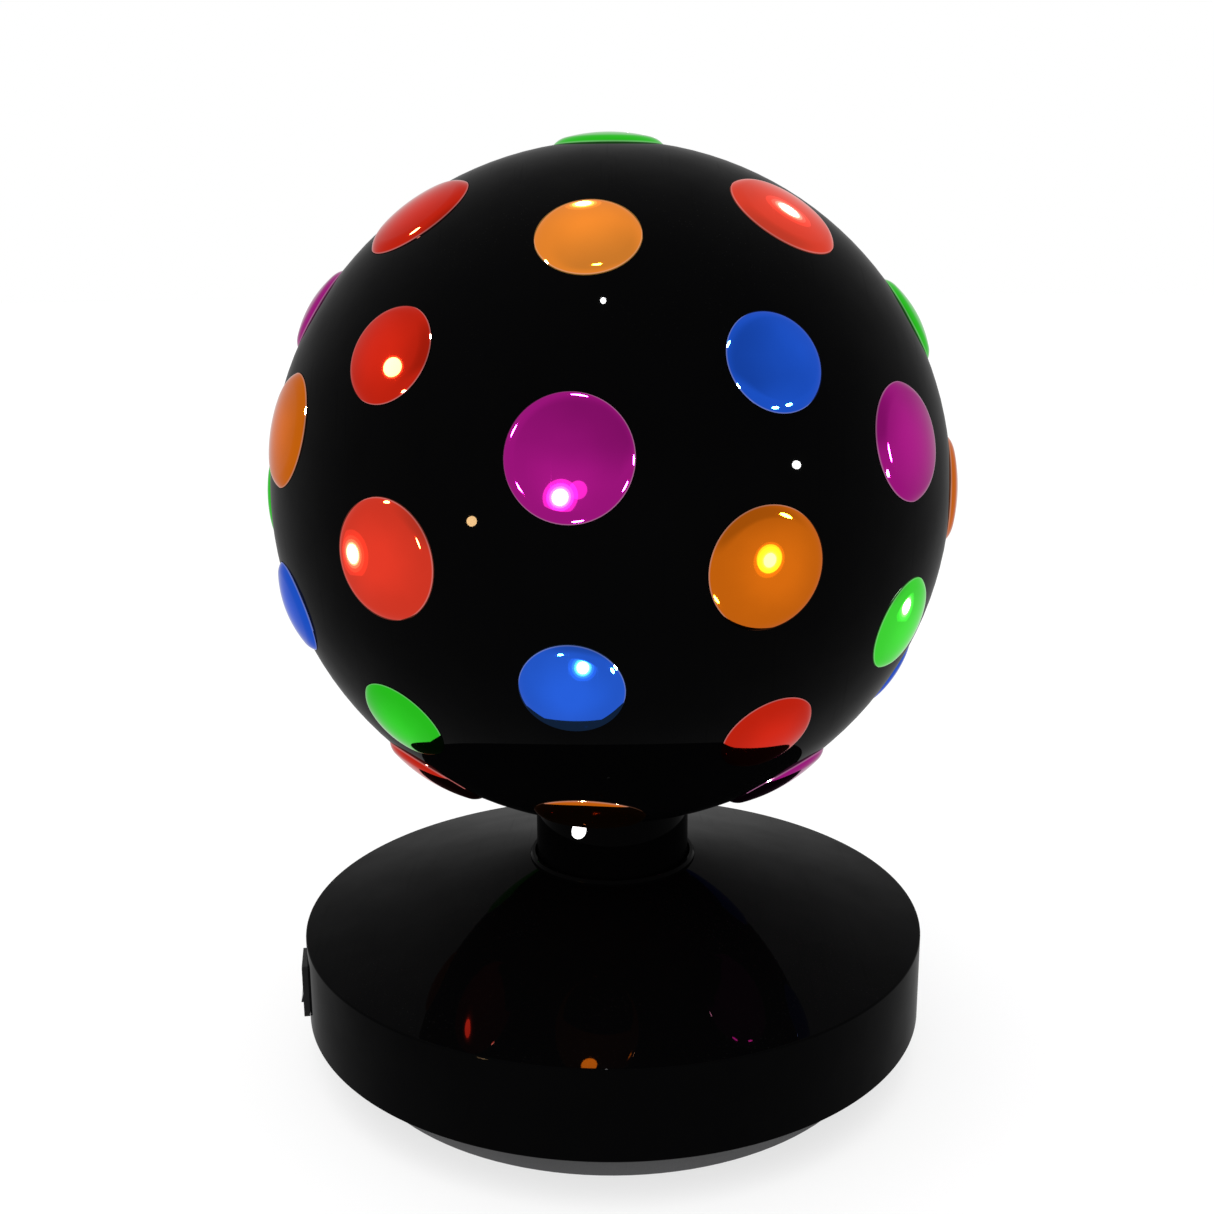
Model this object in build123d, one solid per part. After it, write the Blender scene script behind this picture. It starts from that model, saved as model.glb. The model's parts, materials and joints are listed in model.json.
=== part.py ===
from build123d import *
import os
from math import acos, asin, atan2, cos, pi, radians, sin, sqrt, tan

# A mains disco light: a black ball with round coloured lenses turns on a round base.
# Millimetres. Z is up, the floor is z = 0, the front of the object looks along -Y,
# and the ball turns about the Z axis.

# Ball
ball_radius = 100.0
shell_wall = 2.4
seam_lip_wall = 1.6
seam_lip_height = 2.3
seam_lip_clearance = 0.2
seam_lip_bite = 0.8

# Lenses
large_lens_radius = 15.7
small_lens_radius = 13.3
lens_rise = 3.7
lens_step = 0.15
lens_edge_round = 6.0
lens_edge_slope = 50.0
lens_wall = 2.0
lens_flange_width = 2.2
lens_flange_thickness = 1.6
lens_hole_clearance = 0.15
lens_seat_gap = 0.1
lens_lip_clearance = 0.6

# Neck, which turns with the ball
neck_radius = 24.0
neck_wall = 2.0
neck_show = 18.0
neck_web_drop = 2.0
neck_web_thickness = 2.5
neck_spigot_wall = 2.0
neck_spigot_height = 10.0
neck_flange_thickness = 2.5
neck_fit_gap = 0.1
lock_ring_width = 8.0
lock_ring_height = 3.0

# Base
foot_radius = 83.9
foot_height = 14.2
foot_wall = 3.0
foot_lift = 1.0
floor_thickness = 3.0
rim_radius = 97.4
rim_height = 41.4
base_wall = 2.6
hub_radius = 26.2
hub_lift = 12.3
hub_ring_rise = 2.0
hub_ring_wall = 0.9
hub_ring_depth = 3.4
hub_running_gap = 0.6
plate_flange_thickness = 2.2
plate_edge_gap = 0.3

# Feet, bosses and pillars of the base
foot_pad_radius = 6.0
foot_pad_thickness = 2.5
foot_pad_clearance = 0.1
foot_pad_inset = 13.9
foot_pad_angles = (0, 90, 180, 270)
boss_radius = 4.5
boss_inset = 13.9
boss_angles = (45, 135, 225, 315)
boss_pilot_depth = 12.0
pillar_radius = 4.5
pillar_inset = 6.0
pillar_angles = (60, 120, 240, 300)
pillar_pilot_depth = 11.0
vent_ring_radius = 36.0
vent_length = 12.0
vent_width = 2.6
vent_count = 12

# Screws
screw_radius = 1.5
screw_head_radius = 2.9
screw_head_height = 1.9
screw_slot_width = 0.8
screw_slot_depth = 0.8
screw_hole_clearance = 0.2
base_screw_length = 10.0
chassis_screw_length = 10.0
motor_screw_length = 4.0
sleeve_screw_length = 5.2
sleeve_screw_inset = 6.0
sleeve_screw_angles = (90, 210, 330)

# Chassis and lamp post
chassis_height = 34.0
chassis_radius = 58.0
chassis_thickness = 2.0
post_radius = 5.0
post_wall = 1.2
post_tail = 6.0
nut_across_flats = 14.0
nut_thickness = 4.0
washer_radius = 10.0
washer_thickness = 1.5
bush_wall = 2.0
running_clearance = 0.05
face_clearance = 0.1
upper_bush_overhang = 2.0
keeper_thickness = 1.0
circlip_reach = 2.5
circlip_groove = 0.4
circlip_opening = 5.0

# Gears
gear_module = 1.0
ring_teeth = 60
pinion_teeth = 15
pressure_angle = radians(20)
tooth_height_share = 0.9
tooth_depth_share = 1.2
tooth_play = 0.12
gear_width = 6.0
gear_web_thickness = 3.0
gear_web_lift = 1.0
gear_rim_wall = 3.2
gear_hub_wall = 4.0
gear_hub_height = 11.4
pinion_overhang = 0.5

# Motor
motor_radius = 24.5
motor_height = 20.0
motor_boss_radius = 5.0
motor_boss_rise = 3.0
motor_boss_clearance = 0.5
motor_ear_reach = 29.5
motor_ear_radius = 4.0
motor_ear_thickness = 2.0
motor_groove_width = 1.0
motor_groove_depth = 0.8
shaft_radius = 2.5
shaft_depth = 8.0

# Driver board
board_left = -60.0
board_right = -12.0
board_half_width = 24.0
board_thickness = 1.6
board_standoff = 5.0
board_standoff_radius = 3.0
board_screw_radius = 1.2
board_screw_head_radius = 2.2
board_screw_head_height = 1.6
board_screw_length = 5.0
board_screw_inset = 3.2
transformer_core = (18.0, 16.0, 15.0)
transformer_coil = (13.0, 22.0, 11.0)
large_capacitor = (5.0, 16.0)
small_capacitor = (4.0, 12.0)
terminal_size = (8.0, 10.0, 10.0)
terminal_screw_radius = 1.6
terminal_screw_depth = 1.5
fuse_radius = 2.5
fuse_length = 20.0
fuse_cap_rise = 0.3
fuse_cap_length = 5.0
fuse_shift = 2.0
fuse_edge_margin = 1.0

# Rocker switch on the left of the skirt
switch_angle = -81.0
switch_height = 23.6
switch_bezel_width = 14.5
switch_bezel_height = 17.0
switch_bezel_rise = 1.6
switch_bezel_round = 1.0
switch_body_width = 11.9
switch_body_height = 13.9
switch_body_depth = 13.0
switch_window_clearance = 0.15
switch_cavity_width = 9.6
switch_cavity_height = 12.4
switch_cavity_depth = 8.4
rocker_side_gap = 0.25
rocker_half_length = 5.2
rocker_end_rise = 4.6
rocker_middle_rise = 4.0
rocker_skirt_rise = 0.6
rocker_foot_half_length = 1.6
rocker_foot_drop = 3.6
rocker_pivot_depth = 2.8
rocker_pin_radius = 1.0
rocker_pin_length = 0.9
rocker_tilt_angle = 8.0
contact_width = 4.8
contact_thickness = 0.8
contact_length = 6.0
contact_spacing = 8.0

# Power inlet at the back of the skirt
inlet_angle = 180.0
inlet_height = 27.8
inlet_flange_width = 27.0
inlet_flange_height = 17.0
inlet_flange_rise = 1.2
inlet_flange_round = 3.0
inlet_body_width = 22.0
inlet_body_height = 14.0
inlet_body_depth = 19.0
inlet_window_clearance = 0.15
inlet_mouth_radius = 4.2
inlet_waist_height = 6.4
inlet_mouth_depth = 14.0
inlet_pin_spacing = 8.6
inlet_pin_radius = 1.2
inlet_pin_length = 10.0
inlet_tag_radius = 1.0
inlet_tag_length = 3.0

# Lamp head
core_apothem = 15.0
core_length = 56.0
core_bore_radius = 4.0
core_socket_depth = 12.0
core_screw_lift = 2.5
side_board_width = 14.0
side_board_length = 44.0
side_board_thickness = 1.6
top_board_apothem = 12.0
board_fixing_radius = 1.0
board_fixing_head_radius = 1.9
board_fixing_head_height = 1.2
board_fixing_length = 4.0
board_fixing_inset = 2.6
led_base_side = 5.0
led_base_height = 1.2
led_dome_radius = 2.1
led_spacing = 13.0

# Wiring inside the object
lead_radius = 1.3
lead_bend = 5.0
block_margin = 5.0

cut_margin = 5.0

inner_radius = ball_radius - shell_wall
foot_pad_ring_radius = foot_radius - foot_pad_inset
boss_ring_radius = foot_radius - boss_inset
pillar_ring_radius = chassis_radius - pillar_inset
floor_top = foot_lift + floor_thickness
chassis_top = chassis_height + chassis_thickness
nut_top = chassis_top + nut_thickness
washer_top = nut_top + washer_thickness
gear_hub_low = washer_top + face_clearance
gear_low = gear_hub_low + face_clearance
gear_high = gear_low + gear_width
hub_height = gear_high + hub_lift
ball_height = hub_height + neck_show + ball_radius
centre = (0, 0, ball_height)
neck_web_height = ball_height - ball_radius - neck_web_drop
core_low = ball_height - core_length / 2
core_high = ball_height + core_length / 2
web_low = gear_low + gear_web_lift
web_high = web_low + gear_web_thickness
gear_hub_high = gear_hub_low + gear_hub_height
keeper_low = gear_hub_high + face_clearance
keeper_high = keeper_low + keeper_thickness
bush_radius = post_radius + bush_wall
running_radius = bush_radius + running_clearance
pitch_radius = gear_module * ring_teeth / 2
pinion_pitch_radius = gear_module * pinion_teeth / 2
motor_place = pitch_radius + pinion_pitch_radius
neck_bore_radius = neck_radius - neck_wall
sleeve_screw_ring_radius = neck_bore_radius - sleeve_screw_inset
spigot_bore_radius = neck_bore_radius - neck_spigot_wall
board_low = floor_top + board_standoff
board_high = board_low + board_thickness
board_middle = (board_left + board_right) / 2
gear_hub_radius = running_radius + gear_hub_wall
base_screw_seat = foot_lift + screw_head_height


def disc(radius, low, high):
    """A solid cylinder on the Z axis."""
    return Pos(0, 0, low) * extrude(Circle(radius), high - low)


def tube(outer, inner, low, high):
    """A straight tube on the Z axis."""
    return Pos(0, 0, low) * extrude(Circle(outer) - Circle(inner), high - low)


def hex_prism(apothem, low, high):
    """A six-sided prism on the Z axis, with a flat towards +X."""
    outline = RegularPolygon(apothem, 6, major_radius=False, rotation=30)
    return Pos(0, 0, low) * extrude(outline, high - low)


def block(x_range, y_range, z_range):
    """A plain box between two corners."""
    size = [high - low for low, high in (x_range, y_range, z_range)]
    middle = [(high + low) / 2 for low, high in (x_range, y_range, z_range)]
    return Pos(*middle) * Box(*size)


def turned(*places):
    """A solid turned about Z from straight lines between (radius, height) places."""
    corners = [(radius, 0, height) for radius, height in places]
    return revolve(make_face(Polyline(*corners, close=True)), Axis.Z)


def polar_places(radius, angles):
    """Places on a circle about Z, turned to face outwards."""
    return [Rot(0, 0, angle) * Pos(radius, 0, 0) for angle in angles]


def copies(shape, places):
    """One group of separate solids, a copy of the shape at each place."""
    return Compound([place * shape for place in places])


def slotted_screw(length, shank=screw_radius, head=screw_head_radius, rise=screw_head_height):
    """A pan screw, head up, its seat at z = 0 and its shank below."""
    body = disc(head, 0, rise) + disc(shank, -length, 0)
    body = fillet(body.edges().group_by(Axis.Z)[-1], rise / 3)
    slot_reach = head + cut_margin
    half_slot = screw_slot_width / 2 * shank / screw_radius
    slot = block((-slot_reach, slot_reach), (-half_slot, half_slot),
                 (rise - screw_slot_depth * shank / screw_radius, rise + cut_margin))
    return body - slot


def skirt_place(angle, height):
    """Where a fitting sits on the skirt: X along the wall, Y up, Z outwards."""
    turn = radians(angle)
    along = (cos(turn), sin(turn), 0)
    outward = (sin(turn), -cos(turn), 0)
    spot = (rim_radius * sin(turn), -rim_radius * cos(turn), height)
    return Plane(origin=spot, x_dir=along, z_dir=outward)


def on_sphere(radius, reach):
    """Height above the ball's centre of a point at this reach from the axis."""
    return sqrt(radius**2 - reach**2)


def sphere_arc(radius, reach_from, reach_to):
    """An arc of a sphere's section, between two reaches from the axis."""
    middle = (asin(reach_from / radius) + asin(reach_to / radius)) / 2
    return ThreePointArc((reach_from, 0, on_sphere(radius, reach_from)),
                         (radius * sin(middle), 0, radius * cos(middle)),
                         (reach_to, 0, on_sphere(radius, reach_to)))


# Lens places: degrees round from the front, positive to the right, then degrees down
# from the top of the ball.
lens_angles = {
    "top": ("large", [(0, 0, "green")]),
    "crown": ("small", [(-4.5, 42.8, "amber"), (112, 40, "green"), (-118, 40, "magenta")]),
    "wide_crown": ("large", [(48.3, 38, "red"), (-57.5, 37.4, "red"), (172, 41, "blue")]),
    "shoulder": ("small", [(-38.1, 63.3, "red"), (26.3, 64.3, "blue"), (86, 60, "green"),
                           (-88, 57.5, "magenta"), (145, 62, "amber"), (-148, 62, "blue")]),
    "upper": ("large", [(-5.9, 77.1, "magenta"), (52.1, 77.8, "magenta"), (-64.6, 76.7, "amber"),
                        (113, 77, "red"), (174, 77, "green"), (-126, 77, "red")]),
    "waist": ("large", [(22.3, 93.2, "amber"), (-34.7, 92.8, "red"), (84.5, 89.5, "amber"),
                        (-91.5, 91, "green"), (144, 92, "magenta"), (-152, 92, "amber")]),
    "lower": ("small", [(-6.2, 110.9, "blue"), (54.7, 106.7, "green"), (-67.3, 105.9, "blue"),
                        (115, 108, "red"), (174, 109, "amber"), (-127, 108, "magenta")]),
    "haunch": ("small", [(-41.4, 121.8, "green"), (28.8, 122.4, "red"), (84, 123, "blue"),
                         (146, 123, "green"), (-155, 123, "red"), (-98, 123, "amber")]),
    "bottom": ("large", [(-6.8, 147.3, "amber"), (56, 144, "magenta"), (-58, 142, "red"),
                         (117, 145, "blue"), (175, 146, "red"), (-125, 144, "green")]),
}
lens_radii = {"large": large_lens_radius, "small": small_lens_radius}
lens_colours = ("red", "amber", "green", "blue", "magenta")


def lens_place(azimuth, polar):
    """A frame at the ball's centre whose Z axis points out through the lens."""
    turn, tip = radians(azimuth), radians(polar)
    outward = (sin(tip) * sin(turn), -sin(tip) * cos(turn), cos(tip))
    across = (cos(turn), sin(turn), 0)
    return Plane(origin=centre, x_dir=across, z_dir=outward)


def all_lenses():
    """Every lens as (size, colour, place)."""
    for size, spots in lens_angles.values():
        for azimuth, polar, colour in spots:
            yield size, colour, lens_place(azimuth, polar)


def lens_solid(radius):
    """A hollow domed lens about +Z, with the ball's centre as its origin.

    The dome is one large arc that runs tangent into a smaller arc towards its edge,
    which meets the hole at the edge slope, and a flange behind it seats on the inside
    of the shell.
    """
    edge = on_sphere(ball_radius, radius)
    apex = edge + lens_rise
    slope = radians(lens_edge_slope)
    round_reach = radius - lens_edge_round * sin(slope)
    round_level = edge + lens_step - lens_edge_round * cos(slope)
    rise = apex - round_level
    dome = (round_reach**2 + rise**2 - lens_edge_round**2) / (2 * (rise - lens_edge_round))
    dome_centre = apex - dome
    lean = atan2(round_reach, round_level - dome_centre)
    seat = inner_radius - lens_seat_gap
    back = seat - lens_flange_thickness
    flange = radius + lens_flange_width
    bore = radius - lens_wall
    hollow_rise = lens_rise - lens_wall
    hollow = (bore**2 + hollow_rise**2) / (2 * hollow_rise)
    hollow_lean = asin(bore / hollow) / 2
    hollow_top = edge + hollow_rise
    join = (dome * sin(lean), 0, dome_centre + dome * cos(lean))
    half_lean = (lean + slope) / 2
    outline = [
        ThreePointArc((0, 0, apex),
                      (dome * sin(lean / 2), 0, dome_centre + dome * cos(lean / 2)), join),
        ThreePointArc(join,
                      (round_reach + lens_edge_round * sin(half_lean), 0,
                       round_level + lens_edge_round * cos(half_lean)),
                      (radius, 0, edge + lens_step)),
        Line((radius, 0, edge + lens_step), (radius, 0, on_sphere(seat, radius))),
        sphere_arc(seat, radius, flange),
        Line((flange, 0, on_sphere(seat, flange)), (flange, 0, on_sphere(back, flange))),
        sphere_arc(back, flange, bore),
        Line((bore, 0, on_sphere(back, bore)), (bore, 0, edge)),
        ThreePointArc((bore, 0, edge),
                      (hollow * sin(hollow_lean), 0,
                       hollow_top - hollow + hollow * cos(hollow_lean)),
                      (0, 0, hollow_top)),
        Line((0, 0, hollow_top), (0, 0, apex)),
    ]
    return revolve(make_face(outline), Axis.Z)


def lens_drills(clearance, low, high, sizes=("large", "small")):
    """A cutting cylinder through the shell at each lens."""
    return [place * disc(lens_radii[size] + clearance, low, high)
            for size, _, place in all_lenses() if size in sizes]


def ball_shells():
    """The two halves of the ball, which meet at the equator."""
    reach = ball_radius + cut_margin
    whole = Pos(*centre) * (Sphere(ball_radius) - Sphere(inner_radius))
    upper_space = block((-reach, reach), (-reach, reach), (ball_height, ball_height + reach))
    lower_space = block((-reach, reach), (-reach, reach), (ball_height - reach, ball_height))
    drills = lens_drills(lens_hole_clearance, inner_radius / 2, reach)
    upper = (whole & upper_space) - drills
    lip_outer = on_sphere(inner_radius, seam_lip_height) - seam_lip_clearance
    lip = turned((lip_outer - seam_lip_wall, ball_height - seam_lip_height),
                 (inner_radius + seam_lip_bite, ball_height - seam_lip_height),
                 (inner_radius + seam_lip_bite, ball_height - face_clearance),
                 (lip_outer, ball_height - face_clearance),
                 (lip_outer, ball_height + seam_lip_height),
                 (lip_outer - seam_lip_wall, ball_height + seam_lip_height))
    lip -= lens_drills(lens_flange_width + lens_lip_clearance, inner_radius / 2, reach)
    neck_hole = disc(neck_bore_radius + neck_fit_gap, 0, ball_height)
    lower = (whole & lower_space) + lip.solids()
    lower = lower - drills - neck_hole
    return upper, lower


def neck_sleeve():
    """The neck tube, with its drive flange below and its spigot inside the ball."""
    top = ball_height - on_sphere(ball_radius, neck_radius) + cut_margin
    tube_part = tube(neck_radius, neck_bore_radius, web_high, top)
    tube_part -= Pos(*centre) * Sphere(ball_radius + face_clearance)
    spigot_low = neck_web_height
    spigot_high = ball_height - on_sphere(inner_radius, neck_bore_radius) + neck_spigot_height
    flange = tube(neck_radius, gear_hub_radius + neck_fit_gap, web_high,
                  web_high + neck_flange_thickness)
    web = tube(neck_bore_radius, running_radius, neck_web_height,
               neck_web_height + neck_web_thickness)
    spigot = tube(neck_bore_radius, spigot_bore_radius, spigot_low, spigot_high)
    hole = disc(screw_radius, 0, ball_height)
    holes = [place * hole for place in polar_places(sleeve_screw_ring_radius, sleeve_screw_angles)]
    flange -= holes
    return tube_part + flange + web + spigot


def lock_ring():
    """The ring nut that holds the ball on the neck's spigot."""
    inner = neck_bore_radius + neck_fit_gap
    outer = inner + lock_ring_width
    seat = inner_radius - face_clearance
    under = [(inner, ball_height - on_sphere(seat, inner)),
             (outer, ball_height - on_sphere(seat, outer))]
    middle = (asin(inner / seat) + asin(outer / seat)) / 2
    top = under[1][1] + lock_ring_height
    outline = [
        ThreePointArc((inner, 0, under[0][1]),
                      (seat * sin(middle), 0, ball_height - seat * cos(middle)),
                      (outer, 0, under[1][1])),
        Line((outer, 0, under[1][1]), (outer, 0, top)),
        Line((outer, 0, top), (inner, 0, top)),
        Line((inner, 0, top), (inner, 0, under[0][1])),
    ]
    ring = revolve(make_face(outline), Axis.Z)
    notch = Pos(outer, 0, top) * Box(lock_ring_width / 2, lock_ring_width / 2, lock_ring_height)
    return ring - [Rot(0, 0, angle) * notch for angle in range(0, 360, 60)]


def gear_face(teeth):
    """A gear outline: each flank is an arc through three points of its involute."""
    pitch = gear_module * teeth / 2
    tip = pitch + gear_module * tooth_height_share
    root = pitch - gear_module * tooth_depth_share
    base = pitch * cos(pressure_angle)
    start = max(root, base)

    def half_angle(radius):
        lean = acos(min(base / radius, 1))
        standard = tan(pressure_angle) - pressure_angle
        return (pi / 2 - tooth_play / gear_module) / teeth + standard - (tan(lean) - lean)

    def spot(radius, angle):
        return (radius * cos(angle), radius * sin(angle), 0)

    edges = []
    step = 2 * pi / teeth
    middle = (start + tip) / 2
    for tooth in range(teeth):
        turn = tooth * step
        rise = [(radius, turn - half_angle(radius)) for radius in (start, middle, tip)]
        fall = [(radius, turn + half_angle(radius)) for radius in (tip, middle, start)]
        if start > root:
            edges.append(Line(spot(root, rise[0][1]), spot(*rise[0])))
        edges.append(ThreePointArc(*[spot(*place) for place in rise]))
        edges.append(Line(spot(*rise[2]), spot(*fall[0])))
        edges.append(ThreePointArc(*[spot(*place) for place in fall]))
        if start > root:
            edges.append(Line(spot(*fall[2]), spot(root, fall[2][1])))
        next_rise = turn + step - half_angle(start)
        edges.append(Line(spot(root, fall[2][1]), spot(root, next_rise)))
    return make_face(edges)


def ring_gear():
    """The driven gear under the neck."""
    rim_inner = pitch_radius - gear_module * tooth_depth_share - gear_rim_wall
    body = Pos(0, 0, gear_low) * extrude(gear_face(ring_teeth), gear_width)
    body -= tube(rim_inner, gear_hub_radius, gear_low - cut_margin, web_low)
    body -= tube(rim_inner, gear_hub_radius, web_high, gear_high + cut_margin)
    body += disc(gear_hub_radius, gear_hub_low, gear_hub_high)
    body -= disc(running_radius, gear_hub_low - cut_margin, gear_hub_high + cut_margin)
    hole = disc(screw_radius, 0, ball_height)
    return body - [place * hole
                   for place in polar_places(sleeve_screw_ring_radius, sleeve_screw_angles)]


def drive_pinion():
    """The motor's small gear, in mesh with the ring gear."""
    body = Pos(0, 0, gear_low) * extrude(gear_face(pinion_teeth), gear_width)
    body -= disc(shaft_radius, 0, ball_height)
    return Pos(motor_place, 0, 0) * body


def motor_shaft():
    low = chassis_height - shaft_depth
    return Pos(motor_place, 0, 0) * disc(shaft_radius, low, gear_high + pinion_overhang)


def motor_body():
    """The geared motor: a can with two ears, and a boss that carries the shaft."""
    low = chassis_height - motor_height
    body = disc(motor_radius, low, chassis_height)
    body = fillet(body.edges().group_by(Axis.Z)[0], motor_groove_width)
    groove_low = low + motor_height / 2
    body -= tube(motor_radius + cut_margin, motor_radius - motor_groove_depth,
                 groove_low, groove_low + motor_groove_width)
    body += disc(motor_boss_radius, chassis_height, chassis_height + motor_boss_rise)
    ear_low = chassis_height - motor_ear_thickness
    ear = extrude(SlotCenterToCenter(2 * motor_ear_reach, 2 * motor_ear_radius), motor_ear_thickness)
    body += Pos(0, 0, ear_low) * (Rot(0, 0, 90) * ear)
    body -= disc(shaft_radius + running_clearance, chassis_height - shaft_depth - face_clearance,
                 ball_height)
    hole = disc(screw_radius, ear_low - cut_margin, chassis_height + cut_margin)
    body -= [Pos(0, side * motor_ear_reach, 0) * hole for side in (-1, 1)]
    return Pos(motor_place, 0, 0) * body


def cone_height(radius):
    """Height of the cover's sloping top at this radius."""
    slope = (hub_height - rim_height) / (rim_radius - hub_radius)
    return rim_height + (rim_radius - radius) * slope


def base_cover():
    """The black top of the base: a shallow cone and a plain skirt, open below."""
    slope = (hub_height - rim_height) / (rim_radius - hub_radius)
    drop = base_wall * sqrt(1 + slope**2)
    inner = rim_radius - base_wall
    hub_hole = neck_radius + hub_running_gap + hub_ring_wall
    cover = turned((rim_radius, foot_height), (rim_radius, rim_height), (hub_radius, hub_height),
                   (hub_hole, hub_height), (hub_hole, cone_height(hub_hole) - drop),
                   (inner, cone_height(inner) - drop), (inner, foot_height))
    under = turned((0, 0), (rim_radius - base_wall / 2, 0),
                   (rim_radius - base_wall / 2, cone_height(rim_radius) - drop / 2),
                   (0, cone_height(0) - drop / 2))
    boss = disc(boss_radius, floor_top, hub_height) - disc(screw_radius, 0, floor_top + boss_pilot_depth)
    for place in polar_places(boss_ring_radius, boss_angles):
        cover += (place * boss) & under
    switch = skirt_place(switch_angle, switch_height)
    window = Box(switch_body_width + 2 * switch_window_clearance,
                 switch_body_height + 2 * switch_window_clearance, 2 * switch_body_depth)
    cover -= switch * window
    inlet = skirt_place(inlet_angle, inlet_height)
    window = Box(inlet_body_width + 2 * inlet_window_clearance,
                 inlet_body_height + 2 * inlet_window_clearance, 2 * inlet_body_depth)
    return cover - inlet * window


def hub_ring():
    """The collar in the cover's hub, round the turning neck."""
    inner = neck_radius + hub_running_gap
    outer = inner + hub_ring_wall
    return turned((inner, hub_height - hub_ring_depth), (outer, hub_height - hub_ring_depth),
                  (outer, hub_height), (hub_radius, hub_height),
                  (hub_radius, hub_height + hub_ring_rise / 2),
                  (hub_radius - hub_ring_rise / 4, hub_height + hub_ring_rise),
                  (inner, hub_height + hub_ring_rise))


def base_plate():
    """The grey underside: a foot tray that stands on the floor, with a flange round it."""
    flange_high = foot_height + plate_flange_thickness
    wall_inner = foot_radius - foot_wall
    flange_radius = rim_radius - base_wall - plate_edge_gap
    tray = turned((0, foot_lift), (foot_radius, foot_lift), (foot_radius, foot_height),
                  (flange_radius, foot_height), (flange_radius, flange_high),
                  (wall_inner, flange_high), (wall_inner, floor_top), (0, floor_top))
    pillar = disc(pillar_radius, foot_lift + floor_thickness / 2, chassis_height)
    pillar -= disc(screw_radius, chassis_height - pillar_pilot_depth, chassis_height + cut_margin)
    for place in polar_places(pillar_ring_radius, pillar_angles):
        tray += place * pillar
    standoff = disc(board_standoff_radius, foot_lift + floor_thickness / 2, board_low)
    standoff -= disc(board_screw_radius, floor_top, board_low + cut_margin)
    for place in board_screw_places():
        tray += place * standoff
    pocket = disc(foot_pad_radius + foot_pad_clearance, 0, foot_pad_thickness)
    tray -= [place * pocket for place in polar_places(foot_pad_ring_radius, foot_pad_angles)]
    hole = disc(screw_radius + screw_hole_clearance, 0, floor_top + cut_margin)
    hole += disc(screw_head_radius + screw_hole_clearance, 0, base_screw_seat)
    tray -= [place * hole for place in polar_places(boss_ring_radius, boss_angles)]
    vent = Pos(0, 0, floor_top) * extrude(SlotOverall(vent_length, vent_width),
                                          2 * floor_thickness, both=True)
    angles = [turn * 360 / vent_count for turn in range(vent_count)]
    return tray - [place * vent for place in polar_places(vent_ring_radius, angles)]


def base_screws():
    """Screws from below, through the plate into the cover's bosses."""
    screw = Pos(0, 0, base_screw_seat) * (Rot(180, 0, 0) * slotted_screw(base_screw_length))
    return copies(screw, polar_places(boss_ring_radius, boss_angles))


def rubber_feet():
    pad = disc(foot_pad_radius, 0, foot_pad_thickness)
    pad = fillet(pad.edges().group_by(Axis.Z)[0], foot_pad_thickness / 4)
    return copies(pad, polar_places(foot_pad_ring_radius, foot_pad_angles))


def chassis_plate():
    """The steel plate that carries the motor and the lamp post."""
    plate = disc(chassis_radius, chassis_height, chassis_top)
    plate -= disc(post_radius, 0, ball_height)
    plate -= Pos(motor_place, 0, 0) * disc(motor_boss_radius + motor_boss_clearance, 0, ball_height)
    hole = disc(screw_radius + screw_hole_clearance, 0, ball_height)
    plate -= [place * hole for place in polar_places(pillar_ring_radius, pillar_angles)]
    return plate - [Pos(motor_place, side * motor_ear_reach, 0) * hole for side in (-1, 1)]


def chassis_screws():
    screw = Pos(0, 0, chassis_top) * slotted_screw(chassis_screw_length)
    return copies(screw, polar_places(pillar_ring_radius, pillar_angles))


def motor_screws():
    screw = Pos(0, 0, chassis_top) * slotted_screw(motor_screw_length)
    return copies(screw, [Pos(motor_place, side * motor_ear_reach, 0) for side in (-1, 1)])


def sleeve_screws():
    """Screws that join the neck's flange to the ring gear."""
    screw = Pos(0, 0, web_high + neck_flange_thickness) * slotted_screw(sleeve_screw_length)
    return copies(screw, polar_places(sleeve_screw_ring_radius, sleeve_screw_angles))


def lamp_post():
    """The fixed tube that carries the lamp head, with a groove for its circlip."""
    post = tube(post_radius, post_radius - post_wall, chassis_height - post_tail,
                core_low + core_socket_depth)
    return post - tube(post_radius + cut_margin, post_radius - circlip_groove,
                       keeper_high, keeper_high + keeper_thickness)


def post_nut(low):
    nut = hex_prism(nut_across_flats / 2, low, low + nut_thickness)
    return nut - disc(post_radius, 0, ball_height)


def circlip():
    """The open ring in the post's groove, above the keeper washer."""
    ring = tube(post_radius + circlip_reach, post_radius - circlip_groove,
                keeper_high, keeper_high + keeper_thickness)
    mouth = block((0, post_radius + circlip_reach + cut_margin),
                  (-circlip_opening / 2, circlip_opening / 2),
                  (keeper_high - cut_margin, keeper_high + keeper_thickness + cut_margin))
    return ring - mouth


def lamp_core():
    """The six-sided heat sink on top of the post."""
    core = hex_prism(core_apothem, core_low, core_high)
    core -= disc(post_radius, 0, core_low + core_socket_depth)
    core -= disc(core_bore_radius, 0, ball_height * 2)
    pilot = Rot(0, 90, 0) * disc(board_fixing_radius, core_apothem - board_fixing_length,
                                 core_apothem + cut_margin)
    for side in range(6):
        for height in side_fixing_heights():
            core -= Rot(0, 0, side * 60) * (Pos(0, 0, height) * pilot)
    top_pilot = disc(board_fixing_radius, core_high - board_fixing_length, core_high + cut_margin)
    core -= [place * top_pilot for place in polar_places(top_fixing_reach(), (0, 180))]
    screw_space = Rot(0, 90, 0) * disc(screw_radius, 0, 2 * core_apothem)
    return core - Rot(0, 0, 30) * (Pos(0, 0, core_low + core_screw_lift) * screw_space)


def side_fixing_heights():
    """Heights of the screws that hold each side board."""
    reach = side_board_length / 2 - board_fixing_inset
    return (ball_height - reach, ball_height + reach)


def top_fixing_reach():
    """Distance from the axis of the top board's screws."""
    return top_board_apothem - board_fixing_inset


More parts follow.
